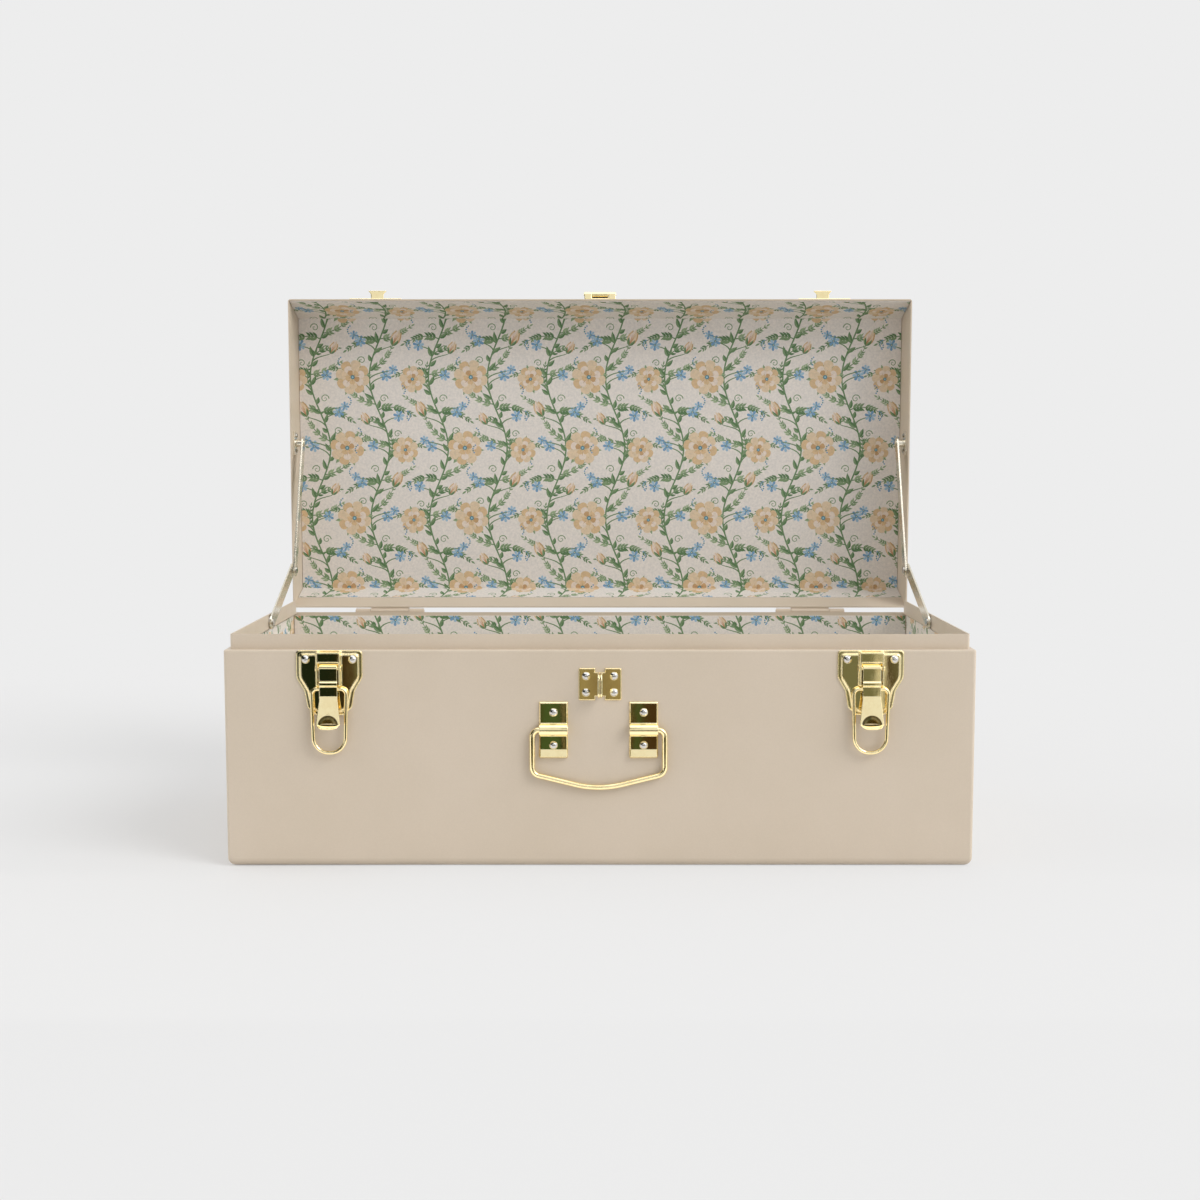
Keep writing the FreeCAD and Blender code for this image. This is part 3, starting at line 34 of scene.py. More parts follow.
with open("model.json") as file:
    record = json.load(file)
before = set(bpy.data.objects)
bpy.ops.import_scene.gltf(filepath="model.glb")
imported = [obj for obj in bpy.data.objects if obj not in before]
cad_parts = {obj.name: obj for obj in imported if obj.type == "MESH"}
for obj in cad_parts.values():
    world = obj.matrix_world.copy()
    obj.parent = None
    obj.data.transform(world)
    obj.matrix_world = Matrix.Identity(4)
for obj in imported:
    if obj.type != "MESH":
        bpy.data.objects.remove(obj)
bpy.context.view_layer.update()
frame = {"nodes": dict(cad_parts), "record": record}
nodes = frame["nodes"]
MM = 0.001


# Colours are written as the sRGB values that they should render as


def linear(value):
    value = value / 255
    return value / 12.92 if value <= 0.04045 else ((value + 0.055) / 1.055) ** 2.4


def srgb(red, green, blue):
    return (linear(red), linear(green), linear(blue), 1)


# Materials


class Nodes:
    """Short ways to add nodes to a tree."""

    def __init__(self, tree):
        self.tree = tree

    def node(self, kind, **settings):
        made = self.tree.nodes.new(kind)
        for name, value in settings.items():
            setattr(made, name, value)
        return made

    def link(self, source, target):
        self.tree.links.new(source, target)

    def math(self, operation, first, second):
        made = self.node("ShaderNodeMath", operation=operation)
        self.link(first, made.inputs[0])
        self.link(second, made.inputs[1])
        return made.outputs["Value"]

    def map_range(self, source, low, high, to_low, to_high):
        made = self.node("ShaderNodeMapRange", interpolation_type="SMOOTHSTEP")
        values = (("From Min", low), ("From Max", high), ("To Min", to_low), ("To Max", to_high))
        for name, value in values:
            made.inputs[name].default_value = value
        self.link(source, made.inputs["Value"])
        return made.outputs["Result"]


class Shader(Nodes):
    """A material with a Principled BSDF."""

    def __init__(self, name):
        self.material = bpy.data.materials.new(name)
        self.material.use_nodes = True
        super().__init__(self.material.node_tree)
        self.surface = self.tree.nodes["Principled BSDF"]
        self.place = self.node("ShaderNodeTexCoord").outputs["Object"]

    def set(self, **values):
        for name, value in values.items():
            self.surface.inputs[name.replace("_", " ")].default_value = value

    def along(self, axis):
        """The place on one axis, X, Y or Z."""
        split = self.node("ShaderNodeSeparateXYZ")
        self.link(self.place, split.inputs["Vector"])
        return split.outputs[axis]

    def noise(self, scale, detail=3, roughness=0.5, stretch=None):
        made = self.node("ShaderNodeTexNoise")
        made.inputs["Scale"].default_value = scale
        made.inputs["Detail"].default_value = detail
        made.inputs["Roughness"].default_value = roughness
        source = self.place
        if stretch is not None:
            mapping = self.node("ShaderNodeMapping")
            mapping.inputs["Scale"].default_value = stretch
            self.link(source, mapping.inputs["Vector"])
            source = mapping.outputs["Vector"]
        self.link(source, made.inputs["Vector"])
        return made.outputs["Fac"]

    def ramp(self, source, *stops):
        made = self.node("ShaderNodeValToRGB")
        elements = made.color_ramp.elements
        while len(elements) < len(stops):
            elements.new(0.5)
        for element, (position, colour) in zip(elements, stops):
            element.position = position
            element.color = colour
        self.link(source, made.inputs["Fac"])
        return made.outputs["Color"]

    def grey_ramp(self, source, low, high, dark, light):
        return self.ramp(source, (low, (dark, dark, dark, 1)), (high, (light, light, light, 1)))

    def mix(self, factor, first, second, blend="MIX"):
        made = self.node("ShaderNodeMix", data_type="RGBA", blend_type=blend)
        for name, value in (("Factor", factor), ("A", first), ("B", second)):
            inputs = [socket for socket in made.inputs if socket.name == name and socket.enabled]
            if isinstance(value, bpy.types.NodeSocket):
                self.link(value, inputs[0])
            else:
                inputs[0].default_value = value
        return [socket for socket in made.outputs if socket.enabled][0]

    def bump(self, *layers, edge=0):
        """Layers of (height, strength, distance), each on the one before; edge rounds corners."""
        normal = None
        if edge:
            bevel = self.node("ShaderNodeBevel", samples=6)
            bevel.inputs["Radius"].default_value = edge
            normal = bevel.outputs["Normal"]
        for height, strength, distance in layers:
            made = self.node("ShaderNodeBump")
            made.inputs["Strength"].default_value = strength
            made.inputs["Distance"].default_value = distance
            self.link(height, made.inputs["Height"])
            if normal is not None:
                self.link(normal, made.inputs["Normal"])
            normal = made.outputs["Normal"]
        self.link(normal, self.surface.inputs["Normal"])

    def colour(self, source):
        self.link(source, self.surface.inputs["Base Color"])

    def roughness(self, source):
        self.link(source, self.surface.inputs["Roughness"])


def painted_steel(name, warm):
    """Satin cream enamel: faint mottling, orange peel and soft dents in the sheet."""
    shader = Shader(name)
    red, green, blue = warm
    mottle = shader.noise(14, 5, 0.55)
    tint = shader.ramp(
        mottle,
        (0.3, srgb(red - 2, green - 2, blue - 3)),
        (0.7, srgb(red + 2, green + 2, blue + 2)),
    )
    speck = shader.grey_ramp(shader.noise(900, 2), 0.35, 0.75, 0.97, 1.0)
    shader.colour(shader.mix(1.0, tint, speck, "MULTIPLY"))
    shader.roughness(shader.grey_ramp(shader.noise(60, 4), 0.3, 0.7, 0.4, 0.52))
    shader.set(Specular_IOR_Level=0.45)
    shader.bump(
        (shader.noise(9, 2), 0.25, 0.0012),
        (shader.noise(1300, 2), 0.05, 0.0002),
    )
    return shader.material


# How far the painted dark reflection reaches from the middle of a thumb scoop, and where it has
# gone
PAINTED_REFLECTION_REACH = (0.00755, 0.0079)
# The painted reflection lies in the scoop from just below its middle upwards, where the hollow
# faces down
PAINTED_REFLECTION_FOOT = (-0.0002, 0.0004)
PAINT_EDGE = 0.0001
PAINT_ROUGHNESS = (0.46, 0.46, 0.46, 1)


def polished_metal(
    name,
    colour,
    dull,
    rough_low,
    rough_high,
    waves,
    edge,
    brush=(1, 1, 0.12),
    recess=None,
    painted_from=None,
):
    """Plated or polished metal, slightly uneven, with fine hairlines.

    recess is the middle of a round hollow, whose upper half gets a painted dark reflection; from
    the height painted_from up it is painted.
    """
    shader = Shader(name)
    stain = shader.noise(160, 5, 0.6)
    tint = shader.mix(shader.grey_ramp(stain, 0.45, 0.8, 0.0, 1.0), colour, dull)
    # Painted reflection: dark olive and brown in the upper half of the hollow, where it faces down
    if recess:
        from_middle = shader.node("ShaderNodeVectorMath", operation="DISTANCE")
        from_middle.inputs[1].default_value = recess
        shader.link(shader.place, from_middle.inputs[0])
        inside = shader.map_range(from_middle.outputs["Value"], *PAINTED_REFLECTION_REACH, 1.0, 0.0)
        foot, top = (recess[2] + step for step in PAINTED_REFLECTION_FOOT)
        above = shader.map_range(shader.along("Z"), foot, top, 0.0, 1.0)
        stops = ((0.3, (0.05, 0.05, 0.016, 1)), (0.7, (0.2, 0.16, 0.07, 1)))
        painted_dark_reflection = shader.ramp(shader.noise(260, 3), *stops)
        tint = shader.mix(shader.math("MULTIPLY", inside, above), tint, painted_dark_reflection)
    shader.set(Metallic=1.0)
    lines = shader.noise(2400, 2, 0.5, brush)
    roughness = shader.grey_ramp(lines, 0.25, 0.8, rough_low, rough_high)
    if painted_from:
        paint_ends = (painted_from - PAINT_EDGE, painted_from + PAINT_EDGE)
        bare = shader.map_range(shader.along("Z"), *paint_ends, 1.0, 0.0)
        tint = shader.mix(bare, srgb(*CREAM), tint)
        roughness = shader.mix(bare, PAINT_ROUGHNESS, roughness)
        shader.link(bare, shader.surface.inputs["Metallic"])
    shader.colour(tint)
    shader.roughness(roughness)
    shader.bump((shader.noise(70, 1), waves, 0.0006), (lines, 0.01, 0.0001), edge=edge)
    return shader.material


CREAM = (211, 196, 177)
cream = painted_steel("cream_enamel", CREAM)
hinge_cream = painted_steel("hinge_enamel", (210, 193, 173))
# A metal's look: its colour, where it is dull, lowest and highest roughness, waves, rounded edges
brass_look = ((1.0, 0.87, 0.52, 1), (0.95, 0.79, 0.44, 1), 0.02, 0.07, 0.07, 0.0009)
brass = polished_metal("polished_brass", *brass_look)
nickel_look = ((0.6, 0.59, 0.57, 1), (0.5, 0.485, 0.46, 1), 0.03, 0.1, 0.03, 0.0002)
nickel = polished_metal("nickel_plate", *nickel_look)
steel_look = ((0.86, 0.81, 0.69, 1), (0.78, 0.73, 0.6, 1), 0.2, 0.3, 0.01, 0.0003)
steel = polished_metal("brushed_plate", *steel_look, brush=(0.3, 0.1, 0.1))

by_slot = {
    "cream_paint": cream,
    "hinge_paint": hinge_cream,
    "brass": brass,
    "nickel": nickel,
    "plated_steel": steel,
}


def dress(thing, material):
    for slot in thing.material_slots:
        slot.link = "OBJECT"
        slot.material = material


slot_of = {part["node"]: part["material_slot"] for part in frame["record"]["subparts"]}
for name, thing in nodes.items():
    if slot_of[name] in by_slot:
        dress(thing, by_slot[slot_of[name]])

# A dark reflection is painted into the thumb scoops of the latch levers
SCOOP_BEHIND_FACE = 0.0003
SCOOP_ABOVE_END = 0.0032
for name in ("latch_lever_left", "latch_lever_right"):
    low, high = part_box(name)
    scoop = ((low[0] + high[0]) / 2, low[1] + SCOOP_BEHIND_FACE, low[2] + SCOOP_ABOVE_END)
    dress(nodes[name], polished_metal(f"{name}_brass", *brass_look, recess=scoop))

# The lid was painted inside after its hinges were riveted on, so the rivets' tails are cream
TAIL_DEPTH = 0.001
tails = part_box("hinge_rivets_lid")[1][2] - TAIL_DEPTH
painted_tails = polished_metal("hinge_rivets_lid_nickel", *nickel_look, painted_from=tails)
dress(nodes["hinge_rivets_lid"], painted_tails)

# The latch plates' edges are rolled over more softly than the other fittings' edges
ROLLED_EDGE = 0.0018
rolled = polished_metal("rolled_brass", *brass_look[:-1], ROLLED_EDGE)
for name in ("latch_plate_left", "latch_plate_right"):
    dress(nodes[name], rolled)


# The printed lining: trailing stems with leaves, blossoms, buds and berries, as polygons


GROUND = srgb(230, 223, 216)
LEAF = srgb(126, 152, 112)
LEAF_DARK = srgb(94, 127, 86)
LEAF_PALE = srgb(154, 173, 136)
STEM = srgb(109, 138, 97)
PEACH = srgb(216, 186, 146)
PEACH_PALE = srgb(224, 202, 172)
TAN = srgb(198, 162, 118)
BLUSH = srgb(230, 214, 200)
RUST = srgb(196, 142, 104)
TEAL = srgb(88, 138, 146)
SKY = srgb(118, 158, 192)
SKY_PALE = srgb(160, 190, 210)


class Print:
    """Polygons in one repeat of the pattern, in millimetres. Later ones lie on top."""

    def __init__(self, width, height):
        self.width = width
        self.height = height
        self.shapes = []

    def add(self, points, colour):
        self.shapes.append(([(float(x), float(y)) for x, y in points], colour))

    def leaf(self, x, y, angle, length, width, colour, bend=0.0, shade=None):
        """A pointed leaf from its base at (x, y) along an angle, with one half shaded."""
        steps = 5
        left = []
        middle = []
        right = []
        for step in range(steps + 1):
            share = step / steps
            spread = math.sin(math.pi * share**0.8) * width / 2
            turn = angle + bend * share
            cx = x + math.cos(angle + bend * share / 2) * length * share
            cy = y + math.sin(angle + bend * share / 2) * length * share
            left.append((cx - math.sin(turn) * spread, cy + math.cos(turn) * spread))
            middle.append((cx, cy))
            right.append((cx + math.sin(turn) * spread, cy - math.cos(turn) * spread))
        self.add(left + right[-2:0:-1], colour)
        if shade is not None:
            self.add(middle + right[-2:0:-1], shade)

    def stem(self, points, width, colour, taper=0.55):
        """A line through points that thins towards its end."""
        count = len(points)
        left = []
        right = []
        for index, (x, y) in enumerate(points):
            before = points[max(index - 1, 0)]
            after = points[min(index + 1, count - 1)]
            dx = after[0] - before[0]
            dy = after[1] - before[1]
            length = math.hypot(dx, dy)
            half = width / 2 * (1 - taper * index / (count - 1))
            left.append((x - dy / length * half, y + dx / length * half))
            right.append((x + dy / length * half, y - dx / length * half))
        self.add(left + right[::-1], colour)

    def disc(self, x, y, radius, colour, sides=8):
        turns = [step / sides * math.tau for step in range(sides)]
        rim = [(x + math.cos(turn) * radius, y + math.sin(turn) * radius) for turn in turns]
        self.add(rim, colour)

    def petal(self, x, y, angle, inner, outer, width, colour):
        """A round-ended petal between two distances from (x, y)."""
        points = []
        for share, spread in ((0, 0.3), (0.35, 0.72), (0.7, 1.0), (0.92, 0.72), (1.0, 0.25)):
            points.append((inner + (outer - inner) * share, spread * width / 2))
        points += [(along, -across) for along, across in reversed(points)]
        ux, uy = math.cos(angle), math.sin(angle)
        self.add([(x + ux * a - uy * b, y + uy * a + ux * b) for a, b in points], colour)


def curve(start, first, second, end, steps):
    """Points on a cubic curve."""
    points = []
    for step in range(steps + 1):
        t = step / steps
        u = 1 - t
        weights = (u**3, 3 * u * u * t, 3 * u * t * t, t**3)
        corners = (start, first, second, end)
        x = sum(weight * corner[0] for weight, corner in zip(weights, corners))
        y = sum(weight * corner[1] for weight, corner in zip(weights, corners))
        points.append((x, y))
    return points


print_sheet = Print(104, 124)


def spray(x, y, angle, length, bend, pairs, leaflet, colour, shade):
    """A thin curved stem with paired leaflets and one at its tip."""
    tip_angle = angle + bend
    across, up = math.cos(tip_angle) * length, math.sin(tip_angle) * length
    first = (x + math.cos(angle) * length * 0.4, y + math.sin(angle) * length * 0.4)
    tip = (first[0] + across * 0.62, first[1] + up * 0.62)
    second = (tip[0] - across * 0.3, tip[1] - up * 0.3)
    steps = 12
    points = curve((x, y), first, second, tip, steps)
    print_sheet.stem(points, 1.0, STEM)
    for pair in range(pairs):
        share = (pair + 1) / (pairs + 0.5)
        index = min(int(share * steps), steps - 1)
        px, py = points[index]
        nx, ny = points[index + 1]
        along = math.atan2(ny - py, nx - px)
        size = leaflet * (1.05 - 0.5 * share)
        for side, tone in ((-1, shade), (1, colour)):
            print_sheet.leaf(px, py, along + side * 0.8, size, size * 0.36, tone, side * -0.35)
    print_sheet.leaf(*points[-1], tip_angle, leaflet * 0.7, leaflet * 0.26, colour)


def rosette(x, y, radius, turn):
    """A full round flower: three rings of petals about a small eye."""
    for step in range(6):
        angle = turn + (step + 0.5) * math.tau / 6
        print_sheet.leaf(x, y, angle, radius * 1.14, radius * 0.42, LEAF_PALE, 0.0, LEAF)
    rings = (
        (8, 0.3, 1.0, 0.62, PEACH, PEACH_PALE),
        (7, 0.16, 0.7, 0.46, PEACH_PALE, BLUSH),
        (5, 0.06, 0.42, 0.34, TAN, PEACH),
    )
    for count, inner, outer, width, first, second in rings:
        for step in range(count):
            angle = turn + count + step * math.tau / count
            tone = first if step % 2 else second
            print_sheet.petal(x, y, angle, inner * radius, outer * radius, width * radius, tone)
            print_sheet.leaf(
                x + math.cos(angle) * radius * inner,
                y + math.sin(angle) * radius * inner,
                angle,
                radius * (outer - inner) * 0.62,
                radius * 0.05,
                TAN if tone is not TAN else RUST,
            )
    print_sheet.disc(x, y, radius * 0.13, TEAL, 9)
    print_sheet.disc(x, y, radius * 0.06, SKY_PALE, 7)


def star(x, y, radius, turn, first, second):
    """A small starry flower with a dark eye."""
    for step in range(7):
        angle = turn + step * math.tau / 7
        tone = first if step % 2 else second
        print_sheet.petal(x, y, angle, radius * 0.1, radius, radius * 0.5, tone)
    print_sheet.disc(x, y, radius * 0.24, TEAL, 7)
    print_sheet.disc(x, y, radius * 0.1, PEACH_PALE, 6)


def tulip(x, y, angle, length):
    """A cup of three long petals on two sepals."""
    for side in (-1, 1):
        turn = angle + side * 0.42
        print_sheet.leaf(x, y, turn, length * 0.95, length * 0.34, PEACH, side * -0.5, TAN)
    print_sheet.leaf(x, y, angle, length * 1.05, length * 0.46, BLUSH, 0.0, PEACH_PALE)
    for lean in (-0.12, 0.0, 0.12):
        print_sheet.leaf(x, y, angle + lean, length * 0.75, length * 0.035, RUST)
    for side in (-1, 1):
        turn = angle + side * 0.75
        print_sheet.leaf(x, y, turn, length * 0.5, length * 0.17, LEAF, side * -0.7, LEAF_DARK)


def tendril(x, y, angle, radius, way):
    """A thin stem that winds in on itself."""
    points = []
    steps = 16
    for step in range(steps + 1):
        share = step / steps
        around = angle + way * share * 1.4 * math.tau
        reach = radius * (1 - share) ** 0.8
        points.append((x + math.cos(around) * reach, y + math.sin(around) * reach))
    print_sheet.stem(points, 0.9, LEAF)


# Where each thing leaves its trail: share of the repeat's height, side, then its measures
SPRAYS = (
    (0.02, -1, 1.15, 33, 0.9, 9, 6.4, False),
    (0.06, 1, 1.45, 29, -0.6, 8, 5.8, True),
    (0.27, 1, 1.0, 34, 0.7, 9, 6.2, False),
    (0.30, -1, 1.2, 30, -0.7, 8, 5.8, True),
    (0.50, 1, 1.2, 32, 1.0, 9, 6.4, False),
    (0.52, -1, 1.5, 30, -0.5, 8, 5.8, True),
    (0.77, -1, 1.05, 32, 0.9, 9, 6.0, False),
    (0.77, 1, 1.5, 28, -0.5, 8, 5.6, True),
    (0.90, 1, 0.7, 24, 0.9, 7, 5.4, False),
    (0.67, -1, 0.6, 22, -0.8, 6, 5.2, False),
)
STARS = (
    (0.19, -1, 14, 9, 5.2),
    (0.24, -1, 21, 8, 4.2),
    (0.44, 1, 13, 8, 5.0),
    (0.49, 1, 21, 7, 4.0),
    (0.70, 1, 14, 8, 4.8),
    (0.92, -1, 13, 7, 5.0),
)
CURLS = (
    (0.10, -1, 9, 3.8),
    (0.37, 1, 9, 3.6),
    (0.60, 1, 9, 3.8),
    (0.95, 1, 8, 3.2),
    (0.85, -1, 9, 3.4),
)
BERRIES = (
    (0.16, -1, 26),
    (0.36, 1, 25),
    (0.58, 1, 27),
    (0.74, 1, 26),
    (0.98, -1, 22),
    (0.47, -1, 25),
)


def trail(centre, lift, way):
    """One wavy upright stem with everything that grows from it; way mirrors it."""
    height = print_sheet.height
    sway = 8.5

    def at(share):
        return centre + way * sway * math.sin(share * math.tau), lift + share * height

    def heading(share):
        return math.atan2(1, way * sway * math.cos(share * math.tau) * math.tau / height)

    def branch(share, side, reach, rise):
        x, y = at(share)
        end = (x + way * side * reach, y + rise)
        bend = (x + way * side * reach * 0.2, y + rise * 0.7)
        below = (end[0] - way * side * 3, end[1] - 2)
        print_sheet.stem(curve((x, y), bend, below, end, 10), 1.2, STEM)
        return end

    def lean(angle):
        """An angle from upright, towards the trail's own side."""
        return math.pi / 2 - way * angle

    for share, side, angle, length, bend, pairs, leaflet, pale in SPRAYS:
        x, y = at(share)
        tones = (LEAF_PALE, LEAF) if pale else (LEAF, LEAF_DARK)
        spray(x, y, lean(side * angle), length, -way * side * bend, pairs, leaflet, *tones)
    parts, steps = 3, 13
    for start in range(0, parts * steps, steps):
        line = [at(step / (parts * steps)) for step in range(start, start + steps + 1)]
        print_sheet.stem(line, 1.3, STEM, 0.0)
    for step in range(15):
        share = (step + 0.4) / 15
        x, y = at(share)
        side = 1 if step % 2 else -1
        length = 8.4 + 2.0 * math.sin(step * 2.1)
        turn = heading(share) + side * 0.8
        print_sheet.leaf(x, y, turn, length, 3.6, LEAF, side * -0.35, LEAF_DARK)

    x, y = branch(0.13, 1, 17, 15)
    rosette(x, y, 15, 0.4 * way)
    x, y = branch(0.64, -1, 16, 12)
    rosette(x, y, 11.5, 1.3 * way)
    for share, side, reach, rise, size in STARS:
        x, y = branch(share, side, reach, rise)
        star(x, y, size, share * 7, SKY, SKY_PALE)
    x, y = branch(0.40, -1, 17, 9)
    tulip(x, y, lean(-0.45), 15)
    x, y = branch(0.86, 1, 16, 7)
    tulip(x, y, lean(0.5), 12)
    for share, side, reach, radius in CURLS:
        x, y = at(share)
        outwards = way * side
        tendril(x + outwards * reach, y, (1 - outwards) * math.pi / 2, radius, outwards)
    for share, side, reach in BERRIES:
        x, y = at(share)
        for step in range(5):
            around = math.pi / 2 - way * side * (0.5 + step * 0.45)
            berry_x = x + way * side * reach + math.cos(around) * 4.2
            berry_y = y + math.sin(around) * 4.2
            print_sheet.disc(berry_x, berry_y, 0.75, TEAL if step % 2 else SKY, 6)


trail(print_sheet.width * 0.25, 0, 1)
trail(print_sheet.width * 0.75, print_sheet.height * 0.5, -1)


def cross_area(points):
    total = 0
    for index, (x, y) in enumerate(points):
        next_x, next_y = points[(index + 1) % len(points)]
        total += x * next_y - next_x * y
    return total / 2


# Lengths and areas below this, in millimetres, count as nothing
SMALLEST = 1e-4


def triangulate(sheet):
    """Triangles of one repeat, each with the colour of the topmost shape there."""
    outline = ((0, 0), (sheet.width, 0), (sheet.width, sheet.height), (0, sheet.height))
    corners = [Vector(corner) for corner in outline]
    faces = [[0, 1, 2, 3]]
    colours = [GROUND]
    for points, colour in sheet.shapes:
        if cross_area(points) < 0:
            points = points[::-1]
        for across in (-sheet.width, 0, sheet.width):
            for up in (-sheet.height, 0, sheet.height):
                moved = [(x + across, y + up) for x, y in points]
                low_x = min(x for x, y in moved)
                high_x = max(x for x, y in moved)
                low_y = min(y for x, y in moved)
                high_y = max(y for x, y in moved)
                if high_x <= 0 or low_x >= sheet.width or high_y <= 0 or low_y >= sheet.height:
                    continue
                first = len(corners)
                corners.extend(Vector(point) for point in moved)
                faces.append(list(range(first, first + len(moved))))
                colours.append(colour)
    made = delaunay_2d_cdt(corners, [], faces, 0, SMALLEST, True)
    points, triangles, owners = made[0], made[2], made[-1]
    found = []
    for triangle, owner in zip(triangles, owners):
        if 0 in owner:
            found.append(([tuple(points[index]) for index in triangle], colours[max(owner)]))
    return found


repeat = triangulate(print_sheet)


def clip(points, axis, limit, keep_above):
    """Cut a convex polygon with a line across one axis."""
    kept = []
    for index, point in enumerate(points):
        following = points[(index + 1) % len(points)]
        inside = point[axis] >= limit if keep_above else point[axis] <= limit
        inside_next = following[axis] >= limit if keep_above else following[axis] <= limit
        if inside:
            kept.append(point)
        if inside != inside_next:
            share = (limit - point[axis]) / (following[axis] - point[axis])
            kept.append(tuple(a + (b - a) * share for a, b in zip(point, following)))
    return kept


def printed_polygons(width, height, start_x, start_y):
    """The pattern cut to a sheet, in millimetres, starting from a place in the repeat."""
    found = []
    sides = ((0, 0, True), (0, width, False), (1, 0, True), (1, height, False))
    for column in range(-1, int(width / print_sheet.width) + 2):
        for row in range(-1, int(height / print_sheet.height) + 2):
            across = column * print_sheet.width - start_x
            up = row * print_sheet.height - start_y
            right = across + print_sheet.width
            top = up + print_sheet.height
            if across > width or right < 0 or up > height or top < 0:
                continue
            whole = across >= 0 and right <= width and up >= 0 and top <= height
            for points, colour in repeat:
                moved = [(x + across, y + up) for x, y in points]
                if not whole and (
                    min(x for x, y in moved) < 0
                    or max(x for x, y in moved) > width
                    or min(y for x, y in moved) < 0
                    or max(y for x, y in moved) > height
                ):
                    for axis, limit, above in sides:
                        if len(moved) >= 3:
                            moved = clip(moved, axis, limit, above)
                if len(moved) >= 3 and abs(cross_area(moved)) > SMALLEST:
                    found.append((moved, colour))
    return found


def lining_material():
    """Matt printed paper: pigment that pools and fades, and a faint fibre."""
    shader = Shader("printed_paper")
    ink = shader.node("ShaderNodeVertexColor", layer_name="print").outputs["Color"]
    stops = ((0.3, (0.86, 0.87, 0.88, 1)), (0.7, (1.06, 1.05, 1.04, 1)))
    wash = shader.ramp(shader.noise(520, 5, 0.62), *stops)
    washed = shader.mix(1.0, ink, wash, "MULTIPLY")
    fibre = shader.grey_ramp(shader.noise(1800, 2, 0.5, (1, 1, 0.4)), 0.3, 0.7, 0.965, 1.0)
    shader.colour(shader.mix(1.0, washed, fibre, "MULTIPLY"))
    shader.set(Roughness=0.72, Specular_IOR_Level=0.3)
    shader.bump((shader.noise(45, 2), 0.15, 0.0004), (shader.noise(1500, 3), 0.12, 0.0001))
    return shader.material


paper = lining_material()

# The trunk's lining inks are a little brighter than the lid's: painted light, standing in for light
# that falls short inside the trunk
LINING_PAINTED_LIGHT = {"trunk": 1.1, "lid": 1.0}
# Normals this close to the wall's belong to the printed face; no lining is thicker than this
SAME_FACE = 0.001
THICKEST = 0.0012


def print_lining(node, body, inward, sideways, upward, start):
    """A lining sheet in place of its plain solid: the printed face, its edges and its back."""
    source = nodes[node]
    inward = Vector(inward)
    corners = [source.matrix_world @ vertex.co for vertex in source.data.vertices]
    walls = source.data.polygons
    best = max(polygon.normal.dot(inward) for polygon in walls)
    facing = [polygon for polygon in walls if polygon.normal.dot(inward) > best - SAME_FACE]
    face = [corners[index] for polygon in facing for index in polygon.vertices]
    normal = facing[0].normal.copy()
    sideways = Vector(sideways)
    upward = Vector(upward)
    upward = (upward - normal * upward.dot(normal)).normalized()
    origin = face[0]
    across = [(point - origin).dot(sideways) for point in face]
    up = [(point - origin).dot(upward) for point in face]
    corner = origin + sideways * min(across) + upward * min(up)
    width = (max(across) - min(across)) / MM
    height = (max(up) - min(up)) / MM
    depths = [(point - origin).dot(-normal) for point in corners]
    thick = max(depth for depth in depths if abs(depth) < THICKEST)

    places = {}
    points = []

    def index_of(x, y):
        key = (round(x, 3), round(y, 3))
        if key not in places:
            places[key] = len(points)
            points.append(corner + sideways * (x * MM) + upward * (y * MM))
        return places[key]

    flip = sideways.cross(upward).dot(normal) < 0
    polygons = []
    inks = []
    for shape, ink in printed_polygons(width, height, *start):
        indices = []
        for x, y in shape:
            index = index_of(x, y)
            if index not in indices:
                indices.append(index)
        if len(indices) >= 3:
            polygons.append(indices[::-1] if flip else indices)
            inks.append(ink)
    used = {}
    for polygon in polygons:
        for first, second in zip(polygon, polygon[1:] + polygon[:1]):
            used[(first, second)] = used.get((first, second), 0) + 1
    border = {first: second for first, second in used if (second, first) not in used}
    behind = {index: len(points) + place for place, index in enumerate(border)}
    points.extend(points[index] - normal * thick for index in border)
    for first, second in border.items():
        if second in behind:
            polygons.append([second, first, behind[first], behind[second]])
            inks.append(GROUND)
    first = next(iter(border))
    loop = [first]
    while border[loop[-1]] != first and len(loop) <= len(border):
        loop.append(border[loop[-1]])
    polygons.append([behind[index] for index in reversed(loop)])
    inks.append(GROUND)

    mesh = bpy.data.meshes.new(f"{node}_print")
    mesh.from_pydata([tuple(point) for point in points], [], polygons)
    layer = mesh.color_attributes.new("print", "FLOAT_COLOR", "CORNER")
    # Each corner's ink, brightened inside the trunk as painted light
    values = []
    for polygon, ink in zip(polygons, inks):
        values.extend([min(channel * LINING_PAINTED_LIGHT[body], 1.0) for channel in ink] * len(polygon))
    layer.data.foreach_set("color", values)
    mesh.materials.append(paper)
    mesh.update()
    piece = bpy.data.objects.new(f"{node}_print", mesh)
    bpy.context.scene.collection.objects.link(piece)
    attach(piece, body)
    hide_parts(node)


EAST = (1, 0, 0)
WEST = (-1, 0, 0)
NORTH = (0, 1, 0)
SOUTH = (0, -1, 0)
UP = (0, 0, 1)
DOWN = (0, 0, -1)
print_lining("body_lining_front", "trunk", NORTH, WEST, UP, (20, 0))
print_lining("body_lining_back", "trunk", SOUTH, EAST, UP, (8, 40))
print_lining("body_lining_left", "trunk", EAST, NORTH, UP, (0, 25))
print_lining("body_lining_right", "trunk", WEST, SOUTH, UP, (30, 60))
print_lining("body_lining_bottom", "trunk", UP, EAST, NORTH, (8, 0))
print_lining("lid_lining_panel", "lid", SOUTH, EAST, UP, (8, 30))
print_lining("lid_lining_front", "lid", DOWN, EAST, SOUTH, (8, 12))
print_lining("lid_lining_hinge_side", "lid", UP, EAST, NORTH, (8, 6))


# Camera, light, floor and backdrop


